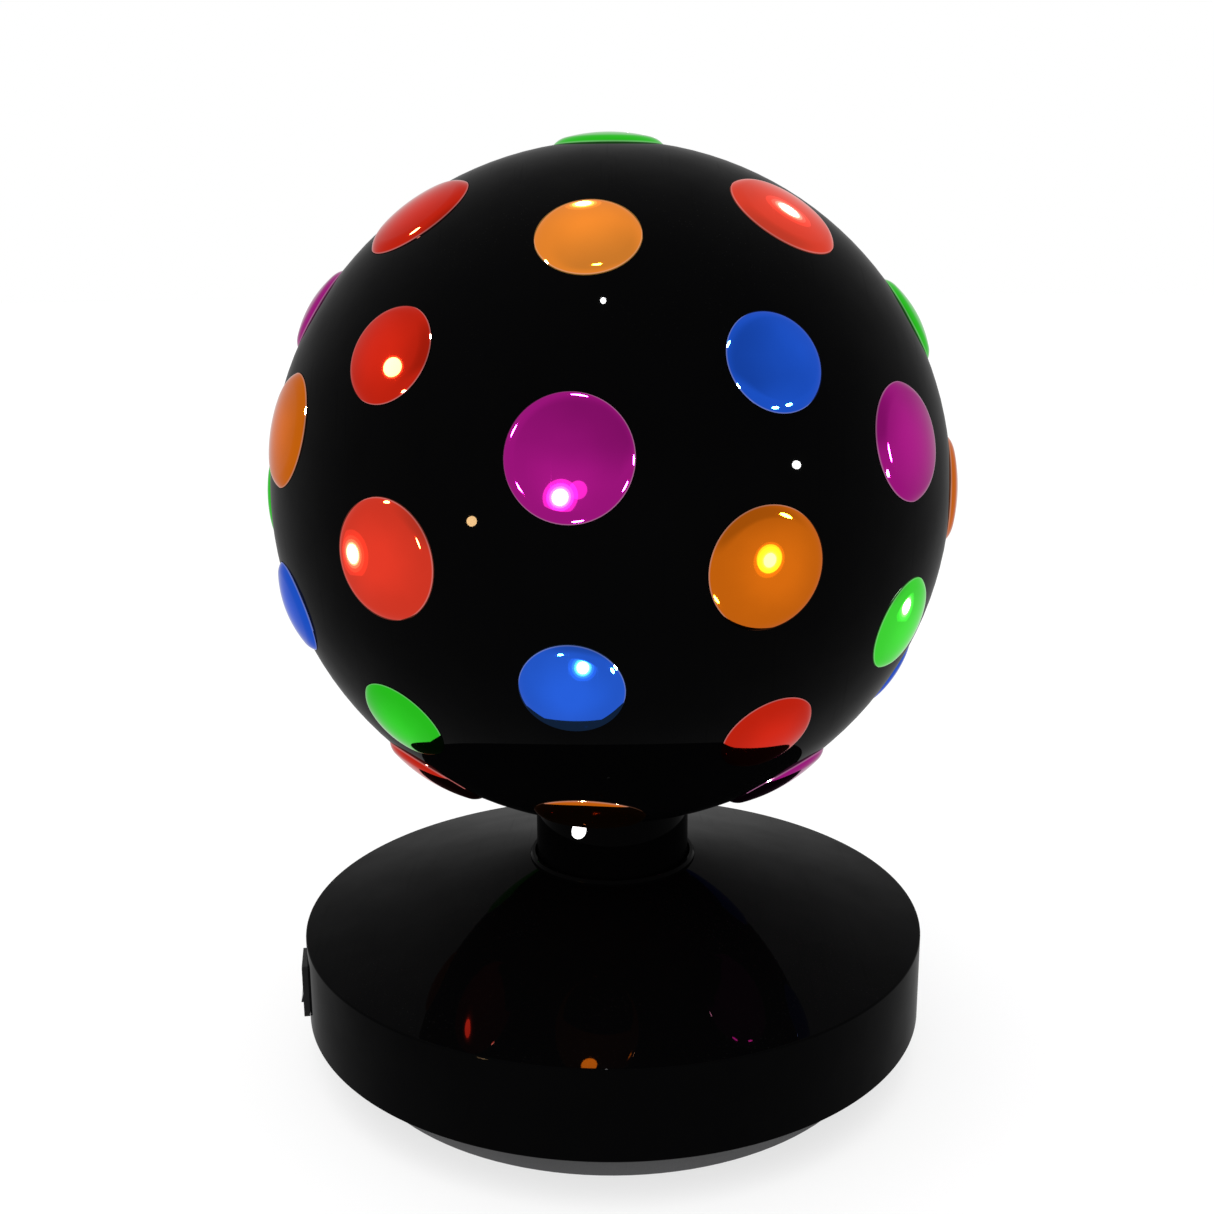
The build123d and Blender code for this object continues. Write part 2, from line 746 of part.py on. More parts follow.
def lamp_set_screw():
    """The grub screw that pins the heat sink to the post."""
    grub = Rot(0, 90, 0) * disc(screw_radius, post_radius, core_apothem)
    return Rot(0, 0, 30) * (Pos(0, 0, core_low + core_screw_lift) * grub)


def side_boards():
    """Six narrow circuit boards, one on each flat of the heat sink."""
    board = block((core_apothem, core_apothem + side_board_thickness),
                  (-side_board_width / 2, side_board_width / 2),
                  (ball_height - side_board_length / 2, ball_height + side_board_length / 2))
    hole = Rot(0, 90, 0) * disc(board_fixing_radius, 0, 2 * core_apothem)
    board -= [Pos(0, 0, height) * hole for height in side_fixing_heights()]
    return copies(board, [Rot(0, 0, side * 60) for side in range(6)])


def top_board():
    board = hex_prism(top_board_apothem, core_high, core_high + side_board_thickness)
    hole = disc(board_fixing_radius, 0, 2 * ball_height)
    return board - [place * hole for place in polar_places(top_fixing_reach(), (0, 180))]


def lamp_board_screws():
    """Small screws of the side boards and of the top board."""
    screw = slotted_screw(board_fixing_length, board_fixing_radius, board_fixing_head_radius,
                          board_fixing_head_height)
    sideways = Pos(core_apothem + side_board_thickness, 0, 0) * (Rot(0, 90, 0) * screw)
    places = [Rot(0, 0, side * 60) * Pos(0, 0, height)
              for side in range(6) for height in side_fixing_heights()]
    group = [place * sideways for place in places]
    upright = Pos(0, 0, core_high + side_board_thickness) * screw
    group += [place * upright for place in polar_places(top_fixing_reach(), (0, 180))]
    return Compound(group)


def led():
    """One light: a square base with a dome on it, facing +Z from z = 0."""
    half = led_base_side / 2
    base = block((-half, half), (-half, half), (0, led_base_height))
    dome = Pos(0, 0, led_base_height) * Sphere(led_dome_radius)
    return base + dome - block((-led_base_side, led_base_side), (-led_base_side, led_base_side),
                               (-led_base_side, 0))


def side_leds(row):
    """The six lights of one row, one on each side board."""
    height = ball_height + row * led_spacing
    sideways = Pos(core_apothem + side_board_thickness, 0, height) * (Rot(0, 90, 0) * led())
    return copies(sideways, [Rot(0, 0, side * 60) for side in range(6)])


def board_screw_places():
    """The driver board's four corners."""
    reach = board_half_width - board_screw_inset
    return [Pos(x, y, 0) for x in (board_left + board_screw_inset, board_right - board_screw_inset)
            for y in (-reach, reach)]


def driver_board():
    board = block((board_left, board_right), (-board_half_width, board_half_width),
                  (board_low, board_high))
    hole = disc(board_screw_radius, 0, ball_height)
    return board - [place * hole for place in board_screw_places()]


def board_screws():
    screw = slotted_screw(board_screw_length, board_screw_radius, board_screw_head_radius,
                          board_screw_head_height)
    return copies(Pos(0, 0, board_high) * screw, board_screw_places())


def standing(size, x, y):
    """A box that stands on the driver board."""
    return block((x - size[0] / 2, x + size[0] / 2), (y - size[1] / 2, y + size[1] / 2),
                 (board_high, board_high + size[2]))


def transformer():
    """The driver's transformer: a square core with its coil standing out each side."""
    return standing(transformer_core, board_middle, 0) + standing(transformer_coil, board_middle, 0)


def capacitors():
    """Two upright capacitors at the right of the board."""
    across = board_half_width / 2
    x = board_right - large_capacitor[0] - block_margin
    group = []
    for (radius, height), side in ((large_capacitor, 1), (small_capacitor, -1)):
        can = disc(radius, board_high, board_high + height)
        can = fillet(can.edges().group_by(Axis.Z)[-1], radius / 10)
        group.append(Pos(x, side * across, 0) * can)
    return Compound(group)


def terminal_places():
    """Middles of the input, motor and lamp terminal blocks on the board."""
    left = board_left + terminal_size[0] / 2 + 2 * board_screw_inset
    reach = board_half_width - terminal_size[1] / 2
    return [(left, reach), (left, -reach), (board_right - terminal_size[0] / 2, 0)]


def terminal_blocks():
    """Three screw terminal blocks."""
    width, depth, height = terminal_size
    body = block((-width / 2, width / 2), (-depth / 2, depth / 2), (0, height))
    top = height - terminal_screw_depth
    body -= [Pos(0, side * depth / 4, 0) * disc(terminal_screw_radius, top, height + cut_margin)
             for side in (-1, 1)]
    return Compound([Pos(x, y, board_high) * body for x, y in terminal_places()])


def fuse():
    """A glass fuse with its end caps, lying in the board's clips."""
    glass = disc(fuse_radius, -fuse_length / 2, fuse_length / 2)
    for side in (-1, 1):
        ends = sorted((side * fuse_length / 2, side * (fuse_length / 2 - fuse_cap_length)))
        glass += disc(fuse_radius + fuse_cap_rise, *ends)
    lying = Rot(0, 90, 0) * glass
    rise = fuse_radius + fuse_cap_rise
    place = Pos(board_middle + fuse_shift, rise + fuse_edge_margin - board_half_width,
                board_high + rise)
    return place * lying


def rounded_block(width, height, low, high, corner):
    """A plate about Z with rounded corners."""
    return Pos(0, 0, low) * extrude(RectangleRounded(width, height, corner), high - low)


def switch_housing():
    """The switch's bezel and body, hollow for the rocker."""
    place = skirt_place(switch_angle, switch_height)
    bezel = place * rounded_block(switch_bezel_width, switch_bezel_height, -base_wall,
                                  switch_bezel_rise, switch_bezel_round)
    bezel -= disc(rim_radius + running_clearance, 0, hub_height)
    body = rounded_block(switch_body_width, switch_body_height, -switch_body_depth,
                         switch_bezel_rise, switch_bezel_round / 2)
    cavity = block((-switch_cavity_width / 2, switch_cavity_width / 2),
                   (-switch_cavity_height / 2, switch_cavity_height / 2),
                   (-switch_cavity_depth, switch_bezel_rise + cut_margin))
    pin_reach = switch_body_width / 2 + cut_margin
    pins = Pos(0, 0, -rocker_pivot_depth) * (Rot(0, 90, 0) * disc(
        rocker_pin_radius + running_clearance, -pin_reach, pin_reach))
    pins &= block((-switch_body_width / 2, switch_body_width / 2),
                  (-switch_body_height, switch_body_height), (-switch_body_depth, switch_body_depth))
    return bezel + place * body - place * (cavity + pins)


def switch_rocker():
    """The rocker on its pivot pins, pressed at the top."""
    place = skirt_place(switch_angle, switch_height)
    corners = [(0, -rocker_half_length, rocker_skirt_rise), (0, -rocker_half_length, rocker_end_rise),
               (0, 0, rocker_middle_rise), (0, rocker_half_length, rocker_end_rise),
               (0, rocker_half_length, rocker_skirt_rise),
               (0, rocker_foot_half_length, -rocker_foot_drop),
               (0, -rocker_foot_half_length, -rocker_foot_drop)]
    half_width = switch_cavity_width / 2 - rocker_side_gap
    body = extrude(make_face(Polyline(*corners, close=True)), half_width, dir=(1, 0, 0), both=True)
    pin_reach = switch_cavity_width / 2 + rocker_pin_length
    body += Rot(0, 90, 0) * disc(rocker_pin_radius, -pin_reach, pin_reach)
    tilted = Rot(-rocker_tilt_angle, 0, 0) * body
    return place * (Pos(0, 0, -rocker_pivot_depth) * tilted)


def switch_contacts():
    """The two blade contacts behind the switch."""
    place = skirt_place(switch_angle, switch_height)
    blade = block((-contact_width / 2, contact_width / 2),
                  (-contact_thickness / 2, contact_thickness / 2),
                  (-switch_body_depth - contact_length, -switch_body_depth))
    return Compound([place * (Pos(0, side * contact_spacing / 2, 0) * blade) for side in (-1, 1)])


def inlet_housing():
    """The two-pin power inlet's flange and body, with its figure-of-eight mouth."""
    place = skirt_place(inlet_angle, inlet_height)
    flange = place * rounded_block(inlet_flange_width, inlet_flange_height, -base_wall,
                                   inlet_flange_rise, inlet_flange_round)
    flange -= disc(rim_radius + running_clearance, 0, hub_height)
    body = rounded_block(inlet_body_width, inlet_body_height, -inlet_body_depth,
                         inlet_flange_rise, inlet_flange_round / 2)
    half = inlet_pin_spacing / 2
    high = inlet_flange_rise + cut_margin
    mouth = Pos(-half, 0, 0) * disc(inlet_mouth_radius, -inlet_mouth_depth, high)
    mouth += Pos(half, 0, 0) * disc(inlet_mouth_radius, -inlet_mouth_depth, high)
    mouth += block((-half, half), (-inlet_waist_height / 2, inlet_waist_height / 2),
                   (-inlet_mouth_depth, high))
    return flange + place * body - place * mouth


def inlet_pins():
    """The inlet's two round pins, with their soldering tags behind the body."""
    place = skirt_place(inlet_angle, inlet_height)
    pin = disc(inlet_pin_radius, -inlet_mouth_depth, inlet_pin_length - inlet_mouth_depth)
    pin = fillet(pin.edges().group_by(Axis.Z)[-1], inlet_pin_radius / 2)
    tag = disc(inlet_tag_radius, -inlet_body_depth - inlet_tag_length, -inlet_body_depth)
    half = inlet_pin_spacing / 2
    return Compound([place * (Pos(side * half, 0, 0) * shape)
                     for side in (-1, 1) for shape in (pin, tag)])


def lead(corners, radius=lead_radius):
    """A wire along straight runs joined by arcs."""
    path = FilletPolyline(*corners, radius=lead_bend)
    section = Plane(origin=path @ 0, z_dir=path % 0) * Circle(radius)
    return sweep(section, path)


def lead_height():
    """Height at which the wires enter the board's terminal blocks."""
    return board_high + terminal_size[2] / 2


def lamp_lead():
    """The wire from the lamp's terminal block up the inside of the post."""
    x, y = terminal_places()[2]
    return lead([(x + terminal_size[0] / 2, y, lead_height()), (0, 0, lead_height()),
                 (0, 0, core_high)])


def supply_lead():
    """The wire from the inlet's tag, inside of a pillar, to the input block."""
    tag = skirt_place(inlet_angle, inlet_height)
    start_x = inlet_pin_spacing / 2 * tag.x_dir.X
    start_y = rim_radius - inlet_body_depth - inlet_tag_length
    x, y = terminal_places()[0]
    y += terminal_size[1] / 2
    turn_y = y + 1.4 * lead_bend
    return lead([(start_x, start_y, inlet_height),
                 (start_x, start_y - 2 * lead_bend, inlet_height),
                 (start_x, turn_y, lead_height()), (x, turn_y, lead_height()),
                 (x, y, lead_height())])


def switch_leads():
    """Two wires from the switch's contacts, over the tray's edge, to the input block."""
    place = skirt_place(switch_angle, switch_height)
    x, y = terminal_places()[0]
    x -= terminal_size[0] / 2
    contact_end = -switch_body_depth - contact_length
    entry_height = foot_height + plate_flange_thickness + 1.3 * lead_radius
    group = []
    for side in (-1, 1):
        rise = side * contact_spacing / 2
        start = place.from_local_coords((0, rise, contact_end))
        inward = place.from_local_coords((0, rise, contact_end - 2 * lead_bend))
        entry = y + side * terminal_size[1] / 4
        turn_x = board_left - (side + 1) / 2 * lead_bend - lead_radius
        group.append(lead([start, inward, (turn_x, entry, entry_height), (x, entry, entry_height)]))
    return Compound(group)


def motor_lead():
    """The wire from the motor's can, round the board, to the motor's terminal block."""
    aside = motor_radius / 4
    start_x = motor_place - sqrt(motor_radius**2 - aside**2) - lead_radius / 2
    start_height = chassis_height - motor_height / 2 - 4 * lead_radius
    x, y = terminal_places()[1]
    y -= terminal_size[1] / 2
    round_y = y - 2 * lead_bend
    return lead([(start_x, -aside, start_height), (start_x - 2 * lead_bend, -aside, start_height),
                 (board_right + lead_bend, round_y, lead_height()), (x, round_y, lead_height()),
                 (x, y, lead_height())])


nodes = {}
nodes["ball_upper_shell"], nodes["ball_lower_shell"] = ball_shells()
nodes["neck_sleeve"] = neck_sleeve()
nodes["neck_lock_ring"] = lock_ring()
nodes["ring_gear"] = ring_gear()
nodes["sleeve_screws"] = sleeve_screws()
lens_shapes = {size: lens_solid(radius) for size, radius in lens_radii.items()}
for size in lens_radii:
    for colour in lens_colours:
        places = [place for one_size, one_colour, place in all_lenses()
                  if (one_size, one_colour) == (size, colour)]
        nodes[f"lenses_{size}_{colour}"] = copies(lens_shapes[size], places)

nodes["base_cover"] = base_cover()
nodes["base_plate"] = base_plate()
nodes["rubber_feet"] = rubber_feet()
nodes["base_screws"] = base_screws()
nodes["hub_ring"] = hub_ring()
nodes["chassis_plate"] = chassis_plate()
nodes["chassis_screws"] = chassis_screws()
nodes["lamp_post"] = lamp_post()
nodes["post_lower_nut"] = post_nut(chassis_height - nut_thickness)
nodes["post_upper_nut"] = post_nut(chassis_top)
nodes["thrust_washer"] = tube(washer_radius, post_radius, nut_top, washer_top)
nodes["lower_bush"] = tube(bush_radius, post_radius, washer_top, gear_hub_high)
nodes["keeper_washer"] = tube(washer_radius, post_radius, keeper_low, keeper_high)
nodes["circlip"] = circlip()
nodes["upper_bush"] = tube(bush_radius, post_radius, neck_web_height - upper_bush_overhang,
                           neck_web_height + neck_web_thickness + upper_bush_overhang)
nodes["motor_body"] = motor_body()
nodes["motor_screws"] = motor_screws()
nodes["motor_shaft"] = motor_shaft()
nodes["drive_pinion"] = drive_pinion()
nodes["driver_board"] = driver_board()
nodes["board_screws"] = board_screws()
nodes["transformer"] = transformer()
nodes["capacitors"] = capacitors()
nodes["terminal_blocks"] = terminal_blocks()
nodes["fuse"] = fuse()
nodes["switch_housing"] = switch_housing()
nodes["switch_rocker"] = switch_rocker()
nodes["switch_contacts"] = switch_contacts()
nodes["inlet_housing"] = inlet_housing()
nodes["inlet_pins"] = inlet_pins()
nodes["lamp_core"] = lamp_core()
nodes["lamp_set_screw"] = lamp_set_screw()
nodes["side_boards"] = side_boards()
nodes["top_board"] = top_board()
nodes["lamp_board_screws"] = lamp_board_screws()
nodes["leds_red"] = side_leds(1)
nodes["leds_green"] = side_leds(0)
nodes["leds_blue"] = side_leds(-1)
nodes["led_white"] = Pos(0, 0, core_high + side_board_thickness) * led()
nodes["lamp_lead"] = lamp_lead()
nodes["supply_lead"] = supply_lead()
nodes["switch_leads"] = switch_leads()
nodes["motor_lead"] = motor_lead()

os.makedirs("parts", exist_ok=True)
for name, shape in nodes.items():
    export_step(shape, f"parts/{name}.step")
print(len(nodes), "nodes")
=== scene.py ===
import json
from math import atan2, cos, pi, radians, sin

import bpy
import numpy as np
from bpy.props import FloatProperty, FloatVectorProperty, IntProperty, PointerProperty
from mathutils import Euler, Matrix, Vector

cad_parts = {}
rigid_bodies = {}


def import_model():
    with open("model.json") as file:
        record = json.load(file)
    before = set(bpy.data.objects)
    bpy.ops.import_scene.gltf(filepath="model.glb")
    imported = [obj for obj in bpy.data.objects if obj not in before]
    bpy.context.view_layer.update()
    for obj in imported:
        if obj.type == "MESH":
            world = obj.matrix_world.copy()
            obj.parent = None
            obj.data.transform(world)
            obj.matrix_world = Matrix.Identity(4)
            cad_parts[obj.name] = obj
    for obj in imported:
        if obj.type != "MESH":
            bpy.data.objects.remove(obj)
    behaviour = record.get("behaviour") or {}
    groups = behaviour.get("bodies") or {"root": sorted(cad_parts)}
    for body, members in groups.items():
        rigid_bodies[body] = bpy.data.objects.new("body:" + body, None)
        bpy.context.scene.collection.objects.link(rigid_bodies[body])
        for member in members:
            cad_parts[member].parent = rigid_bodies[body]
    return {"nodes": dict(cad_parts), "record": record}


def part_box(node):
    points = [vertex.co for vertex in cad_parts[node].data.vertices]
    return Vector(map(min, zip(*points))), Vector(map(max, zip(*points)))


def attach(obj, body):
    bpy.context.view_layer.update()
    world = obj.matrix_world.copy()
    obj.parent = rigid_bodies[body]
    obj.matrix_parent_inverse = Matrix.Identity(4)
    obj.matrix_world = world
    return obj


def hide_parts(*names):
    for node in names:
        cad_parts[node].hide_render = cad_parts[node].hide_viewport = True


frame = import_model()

bl_info = {
    "name": "Disco light",
    "version": (1, 0, 0),
    "blender": (4, 5, 0),
    "location": "View3D > Sidebar > Disco light",
    "description": "Dresses a turning disco light: gloss ball, coloured lenses and round base",
    "category": "Object",
}

SLOTS = {subpart["node"]: subpart["material_slot"] for subpart in frame["record"]["subparts"]}

# Heights are above the floor. Profiles are places (radius, height) about the Z axis.
MM = 0.001
NEARLY, TINY, SAME = 1e-5, 1e-6, 1e-9  # how far off a place or a turn may be
CREASE = radians(28)  # edges that turn more stay sharp
BEVEL_FROM = radians(40)  # edges that turn more are bevelled
FIT_GAP = 0.15 * MM  # round a fitting in the skirt
LEAST_STEP = 0.3  # share of an even step that is kept clear beside a window's edge


def read(items, key, kind=np.float32):
    """A value, or a vector in a row, of each item of a mesh."""
    width = 1 if kind is np.int32 else 3
    values = np.empty(len(items) * width, kind)
    items.foreach_get(key, values)
    return values if width == 1 else values.reshape(-1, width)


def node_points(name):
    """The corners of a CAD node's triangles, as one array."""
    return read(frame["nodes"][name].data.vertices, "co").astype(float)


def reach_of(points):
    """Distance of each point from the Z axis."""
    return np.hypot(points[:, 0], points[:, 1])


BALL_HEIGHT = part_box("ball_upper_shell")[0].z
BALL_CENTRE = np.array([0.0, 0.0, BALL_HEIGHT])
BALL_RADIUS = float(np.linalg.norm(node_points("ball_upper_shell") - BALL_CENTRE, axis=1).max())
COVER_POINTS = node_points("base_cover")
COVER_REACH = reach_of(COVER_POINTS)
RIM_RADIUS = float(COVER_REACH.max())
SKIRT_HEIGHTS = COVER_POINTS[COVER_REACH > RIM_RADIUS - NEARLY, 2]
SKIRT_LOW, RIM_HEIGHT = float(SKIRT_HEIGHTS.min()), float(SKIRT_HEIGHTS.max())
HUB_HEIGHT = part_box("base_cover")[1].z
HUB_REACH = COVER_REACH[COVER_POINTS[:, 2] > HUB_HEIGHT - NEARLY]
HUB_HOLE, HUB_RADIUS = float(HUB_REACH.min()), float(HUB_REACH.max())
NECK_RADIUS = float(reach_of(node_points("neck_sleeve")).max())


# Sizes and colours that a user would change


def length_value(name, description, millimetres):
    return FloatProperty(name=name, description=description, default=millimetres * MM,
                         unit="LENGTH", subtype="DISTANCE")


def colour_value(name, description, *colour):
    return FloatVectorProperty(name=name, description=description, default=colour,
                               subtype="COLOR", size=3, min=0.0, max=1.0)


def angle_value(name, description, degrees):
    return FloatProperty(name=name, description=description, default=radians(degrees),
                         subtype="ANGLE", unit="ROTATION")


def share_value(name, description, number, high=1.0):
    return FloatProperty(name=name, description=description, default=number, min=0.0,
                         max=high, subtype="FACTOR")


class LensSizes(bpy.types.PropertyGroup):
    """The domed lenses in the ball."""

    large_radius: length_value("Large lens radius", "Radius of the large lenses", 15.7)
    small_radius: length_value("Small lens radius", "Radius of the small lenses", 13.3)
    rise: length_value("Rise", "Dome height above the edge of its hole", 3.7)
    step: length_value("Step", "Straight height below the rounded edge", 0.15)
    edge_round: length_value("Edge round", "Radius of the dome's rounded edge", 6.0)
    edge_slope: angle_value("Edge slope", "Slope of the dome at its edge", 50.0)
    wall: length_value("Wall", "Thickness of the dome", 2.0)
    flange_width: length_value("Flange width", "How far the flange reaches past the dome", 2.2)
    flange_thickness: length_value("Flange thickness", "Thickness of the flange", 1.6)
    seat_depth: length_value("Seat depth", "Depth of the flange below the ball's surface", 2.5)
    segments: IntProperty(name="Segments", description="Steps round each lens", default=72, min=8)


class BaseSizes(bpy.types.PropertyGroup):
    """The round base and its collar."""

    wall: length_value("Wall", "Thickness of the cover", 2.6)
    rim_round: length_value("Rim round", "Radius where the top meets the skirt", 0.7)
    edge_round: length_value("Edge round", "Radius of the skirt's lower edge", 0.35)
    collar_wall: length_value("Collar wall", "Thickness of the collar in the hub", 0.9)
    collar_depth: length_value("Collar depth", "How far the collar reaches into the hub", 3.4)
    collar_rise: length_value("Collar rise", "Height of the collar above the hub", 2.0)
    running_gap: length_value("Running gap", "Gap between the collar and the neck", 0.6)
    segments: IntProperty(name="Segments", description="Steps round the base", default=256, min=8)


class FinishColours(bpy.types.PropertyGroup):
    """Colours of the plastics and of the lenses."""

    gloss_black: colour_value("Gloss black", "Ball, neck, collar, cover", 0.0009, 0.0009, 0.001)
    satin_black: colour_value("Satin black", "Switch and inlet", 0.006, 0.006, 0.0065)
    foot_grey: colour_value("Foot grey", "Moulded foot under the base", 0.075, 0.075, 0.077)
    red: colour_value("Red", "Red lenses", 0.78, 0.024, 0.008)
    amber: colour_value("Amber", "Amber lenses", 0.82, 0.176, 0.006)
    green: colour_value("Green", "Green lenses", 0.032, 0.77, 0.020)
    blue: colour_value("Blue", "Blue lenses", 0.017, 0.12, 0.82)
    magenta: colour_value("Magenta", "Magenta lenses", 0.49, 0.010, 0.29)
    # Painted glow: the strength of the emission on the ball's lenses that stands for light through
    # them.
    lens_glow: share_value("Lens glow", "Light that comes through a lit lens", 0.3, high=4.0)


class StageValues(bpy.types.PropertyGroup):
    """Camera, floor and soft light."""

    focal_length: FloatProperty(name="Focal length", description="Camera lens in millimetres",
                                default=43.15, min=1.0)
    camera_side: length_value("Camera side", "Camera's place along X", -1.24)
    camera_distance: length_value("Camera distance", "Distance in front of the axis", 435.18)
    camera_height: length_value("Camera height", "Camera's height above the floor", 245.8)
    camera_pitch: angle_value("Camera pitch", "How far the camera looks down", 13.525)
    camera_roll: FloatProperty(name="Camera roll", description="Turn about the line of sight",
                               default=0.0065, subtype="ANGLE", unit="ROTATION")
    sky: share_value("Sky", "Brightness of the soft light all round", 0.82, high=4.0)
    patch_share: share_value("Patch share", "Share of the soft light in the dim patch", 0.68)
    patch_azimuth: angle_value("Patch azimuth", "Turn of the dim patch from the front", 24.0)
    patch_rise: angle_value("Patch rise", "Height of the dim patch above the horizon", 28.0)
    key: share_value("Key", "Strength of the soft light from above", 0.9, high=40.0)
    floor_share: share_value("Floor share", "How much light the floor gives back", 0.25)
    floor_glow: share_value("Floor glow", "Even brightness added to the floor", 0.695)


# Meshes: a turned surface is a profile carried round the Z axis on a grid


def rounded_profile(corners, rounds, steps=6):
    """Points and strip normals of a closed profile whose corners are rounded by arcs.

    At a corner the arc of radius r starts r * tan(turn / 2) before it and ends as far
    after it, and its points lie at equal angles about its centre. The outward normal of
    a direction (dr, dz) is (dz, -dr), so the profile runs upwards on the outside.
    """
    corners = np.asarray(corners, float)
    points, tangents = [], []
    for index, (here, radius) in enumerate(zip(corners, rounds)):
        before = here - corners[index - 1]
        after = corners[(index + 1) % len(corners)] - here
        before /= np.linalg.norm(before)
        after /= np.linalg.norm(after)
        turn = atan2(before[0] * after[1] - before[1] * after[0], before @ after)
        if radius <= 0 or abs(turn) < TINY:
            points.append(np.array([here, here]))
            tangents.append(np.array([before, after]))
            continue
        inward = np.sign(turn) * np.array([-before[1], before[0]])
        centre = here - before * radius * np.tan(abs(turn) / 2) + inward * radius
        angles = np.linspace(0, abs(turn), steps + 1)[:, None]
        points.append(centre - inward * radius * np.cos(angles) + before * radius * np.sin(angles))
        tangents.append(before * np.cos(angles) + inward * np.sin(angles))
    points = np.concatenate([*points, points[0][:1]])
    tangents = np.concatenate([*tangents, tangents[0][:1]])
    return points, np.stack([tangents[:, 1], -tangents[:, 0]], axis=1)


def turned_arrays(points, normals, angles):
    """Corners, faces and corner normals of a profile turned about the Z axis.

    A point (r, z) at angle a lies at (r cos a, r sin a, z), and its normal turns with it.
    Profile points that coincide are one ring, a point on the axis is one vertex, and the
    strip between two rings takes its normals from its own two ends.
    """
    apart = np.linalg.norm(np.diff(points, axis=0), axis=1) > SAME
    ring_of = np.concatenate([[0], np.cumsum(apart)])
    if np.allclose(points[0], points[-1], atol=SAME):
        ring_of[ring_of == ring_of[-1]] = 0
    rings = points[np.unique(ring_of, return_index=True)[1]]
    count = len(angles)
    circle = np.stack([np.cos(angles), np.sin(angles)], axis=1)
    poles = rings[:, 0] < SAME
    sizes = np.where(poles, 1, count)
    starts = np.cumsum(sizes) - sizes
    around = np.arange(count)
    onward = (around + 1) % count

    def at(ring, steps):
        return starts[ring] + (0 * steps if poles[ring] else steps)

    corners, faces, face_normals = [], [], []
    for ring, (reach, height) in enumerate(rings):
        turned = circle[:1] * 0 if poles[ring] else circle * reach
        corners.append(np.column_stack([turned, np.full(len(turned), height)]))
    for strip in range(len(points) - 1):
        low, high = ring_of[strip], ring_of[strip + 1]
        if low == high:
            continue
        ends = [np.column_stack([circle * normals[strip + end, 0],
                                 np.full(count, normals[strip + end, 1])]) for end in (0, 1)]
        face = [at(low, around), at(low, onward), at(high, onward), at(high, around)]
        face_normal = [ends[0], ends[0][onward], ends[1][onward], ends[1]]
        if poles[low] or poles[high]:
            spare = 1 if poles[low] else 2
            del face[spare], face_normal[spare]
        faces.append(np.stack(face, axis=1))
        face_normals.append(np.stack(face_normal, axis=1))
    return np.concatenate(corners), faces, face_normals


def placed(arrays, turns, middle):
    """Copies of one shape, each turned by a matrix of the list and moved to the middle."""
    corners, faces, face_normals = arrays
    everywhere = np.einsum("kij,vj->kvi", turns, corners) + middle
    shifts = np.arange(len(turns)) * len(corners)
    return (everywhere.reshape(-1, 3),
            [(face[None] + shifts[:, None, None]).reshape(-1, face.shape[1]) for face in faces],
            [np.einsum("kij,fcj->kfci", turns, normal).reshape(-1, *normal.shape[1:])
             for normal in face_normals])


def mesh_of(name, corners, faces):
    mesh = bpy.data.meshes.new(name)
    mesh.from_pydata(corners, [], [row for face in faces for row in face.tolist()])
    return mesh


def into_scene(name, data):
    """A new object of the scene that holds a mesh, a lamp or a camera."""
    made = bpy.data.objects.new(name, data)
    bpy.context.scene.collection.objects.link(made)
    return made


def make_piece(name, arrays, body, node, slot):
    """One smooth-shaded piece from arrays, in place of its CAD node."""
    corners, faces, face_normals = arrays
    mesh = mesh_of(name, corners, faces)
    mesh.shade_smooth()
    mesh.normals_split_custom_set(
        np.concatenate([normal.reshape(-1, 3) for normal in face_normals]))
    return dress(name, mesh, body, node, slot)


def dress(name, mesh, body, node, slot):
    """Puts a mesh into the scene as a piece with its slot's finish, on its body."""
    piece = into_scene(name, mesh)
    mesh.materials.append(finish(slot))
    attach(piece, body)
    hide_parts(node)
    return piece


def even_angles(count):
    return np.arange(count) * 2 * pi / count


def smooth_copy(name, node, body, slot, on_ball=False, bevel=0.0):
    """A copy of a CAD node whose coinciding corners are merged and whose curves are smooth.

    On the ball's surface a corner's normal is its direction from the ball's centre.
    """
    points = node_points(node)
    loops = read(frame["nodes"][node].data.loops, "vertex_index", np.int32)
    keys, merged = np.unique(np.round(points / (0.001 * MM)).astype(np.int64), axis=0,
                             return_inverse=True)
    corners = np.zeros((len(keys), 3))
    corners[merged.ravel()] = points
    triangles = merged.ravel()[loops].reshape(-1, 3)
    triangles = triangles[(triangles != np.roll(triangles, 1, axis=1)).all(axis=1)]
    fresh = mesh_of(name, corners, [triangles])
    fresh.shade_smooth()
    fresh.set_sharp_from_angle(angle=CREASE)
    if on_ball:
        normals = read(fresh.corner_normals, "vector")
        spokes = corners[read(fresh.loops, "vertex_index", np.int32)] - BALL_CENTRE
        length = np.linalg.norm(spokes, axis=1)
        spokes /= length[:, None]
        facing = np.repeat(read(fresh.polygons, "normal"), 3, axis=0)
        outer = (np.abs(length - BALL_RADIUS) < NEARLY) & ((facing * spokes).sum(axis=1) > 0.9)
        normals[outer] = spokes[outer]
        fresh.normals_split_custom_set(normals)
    piece = dress(name, fresh, body, node, slot)
    if bevel:
        rounding = piece.modifiers.new("edge rounding", "BEVEL")
        rounding.width, rounding.segments = bevel, 2
        rounding.limit_method, rounding.angle_limit = "ANGLE", BEVEL_FROM
        rounding.harden_normals = True


# Materials


def give(tree, sockets, values):
    """Links or sets the named inputs of a node; a colour is made opaque."""
    for label, value in values.items():
        socket = sockets[label]
        if isinstance(value, bpy.types.NodeSocket):
            tree.links.new(value, socket)
        else:
            socket.default_value = (*value, 1.0) if socket.type == "RGBA" else value


def add_node(tree, kind, inputs=None, **settings):
    """Adds one node, sets its properties, and fills or links its named inputs."""
    made = tree.nodes.new(kind)
    for key, value in settings.items():
        setattr(made, key, value)
    give(tree, made.inputs, inputs or {})
    return made


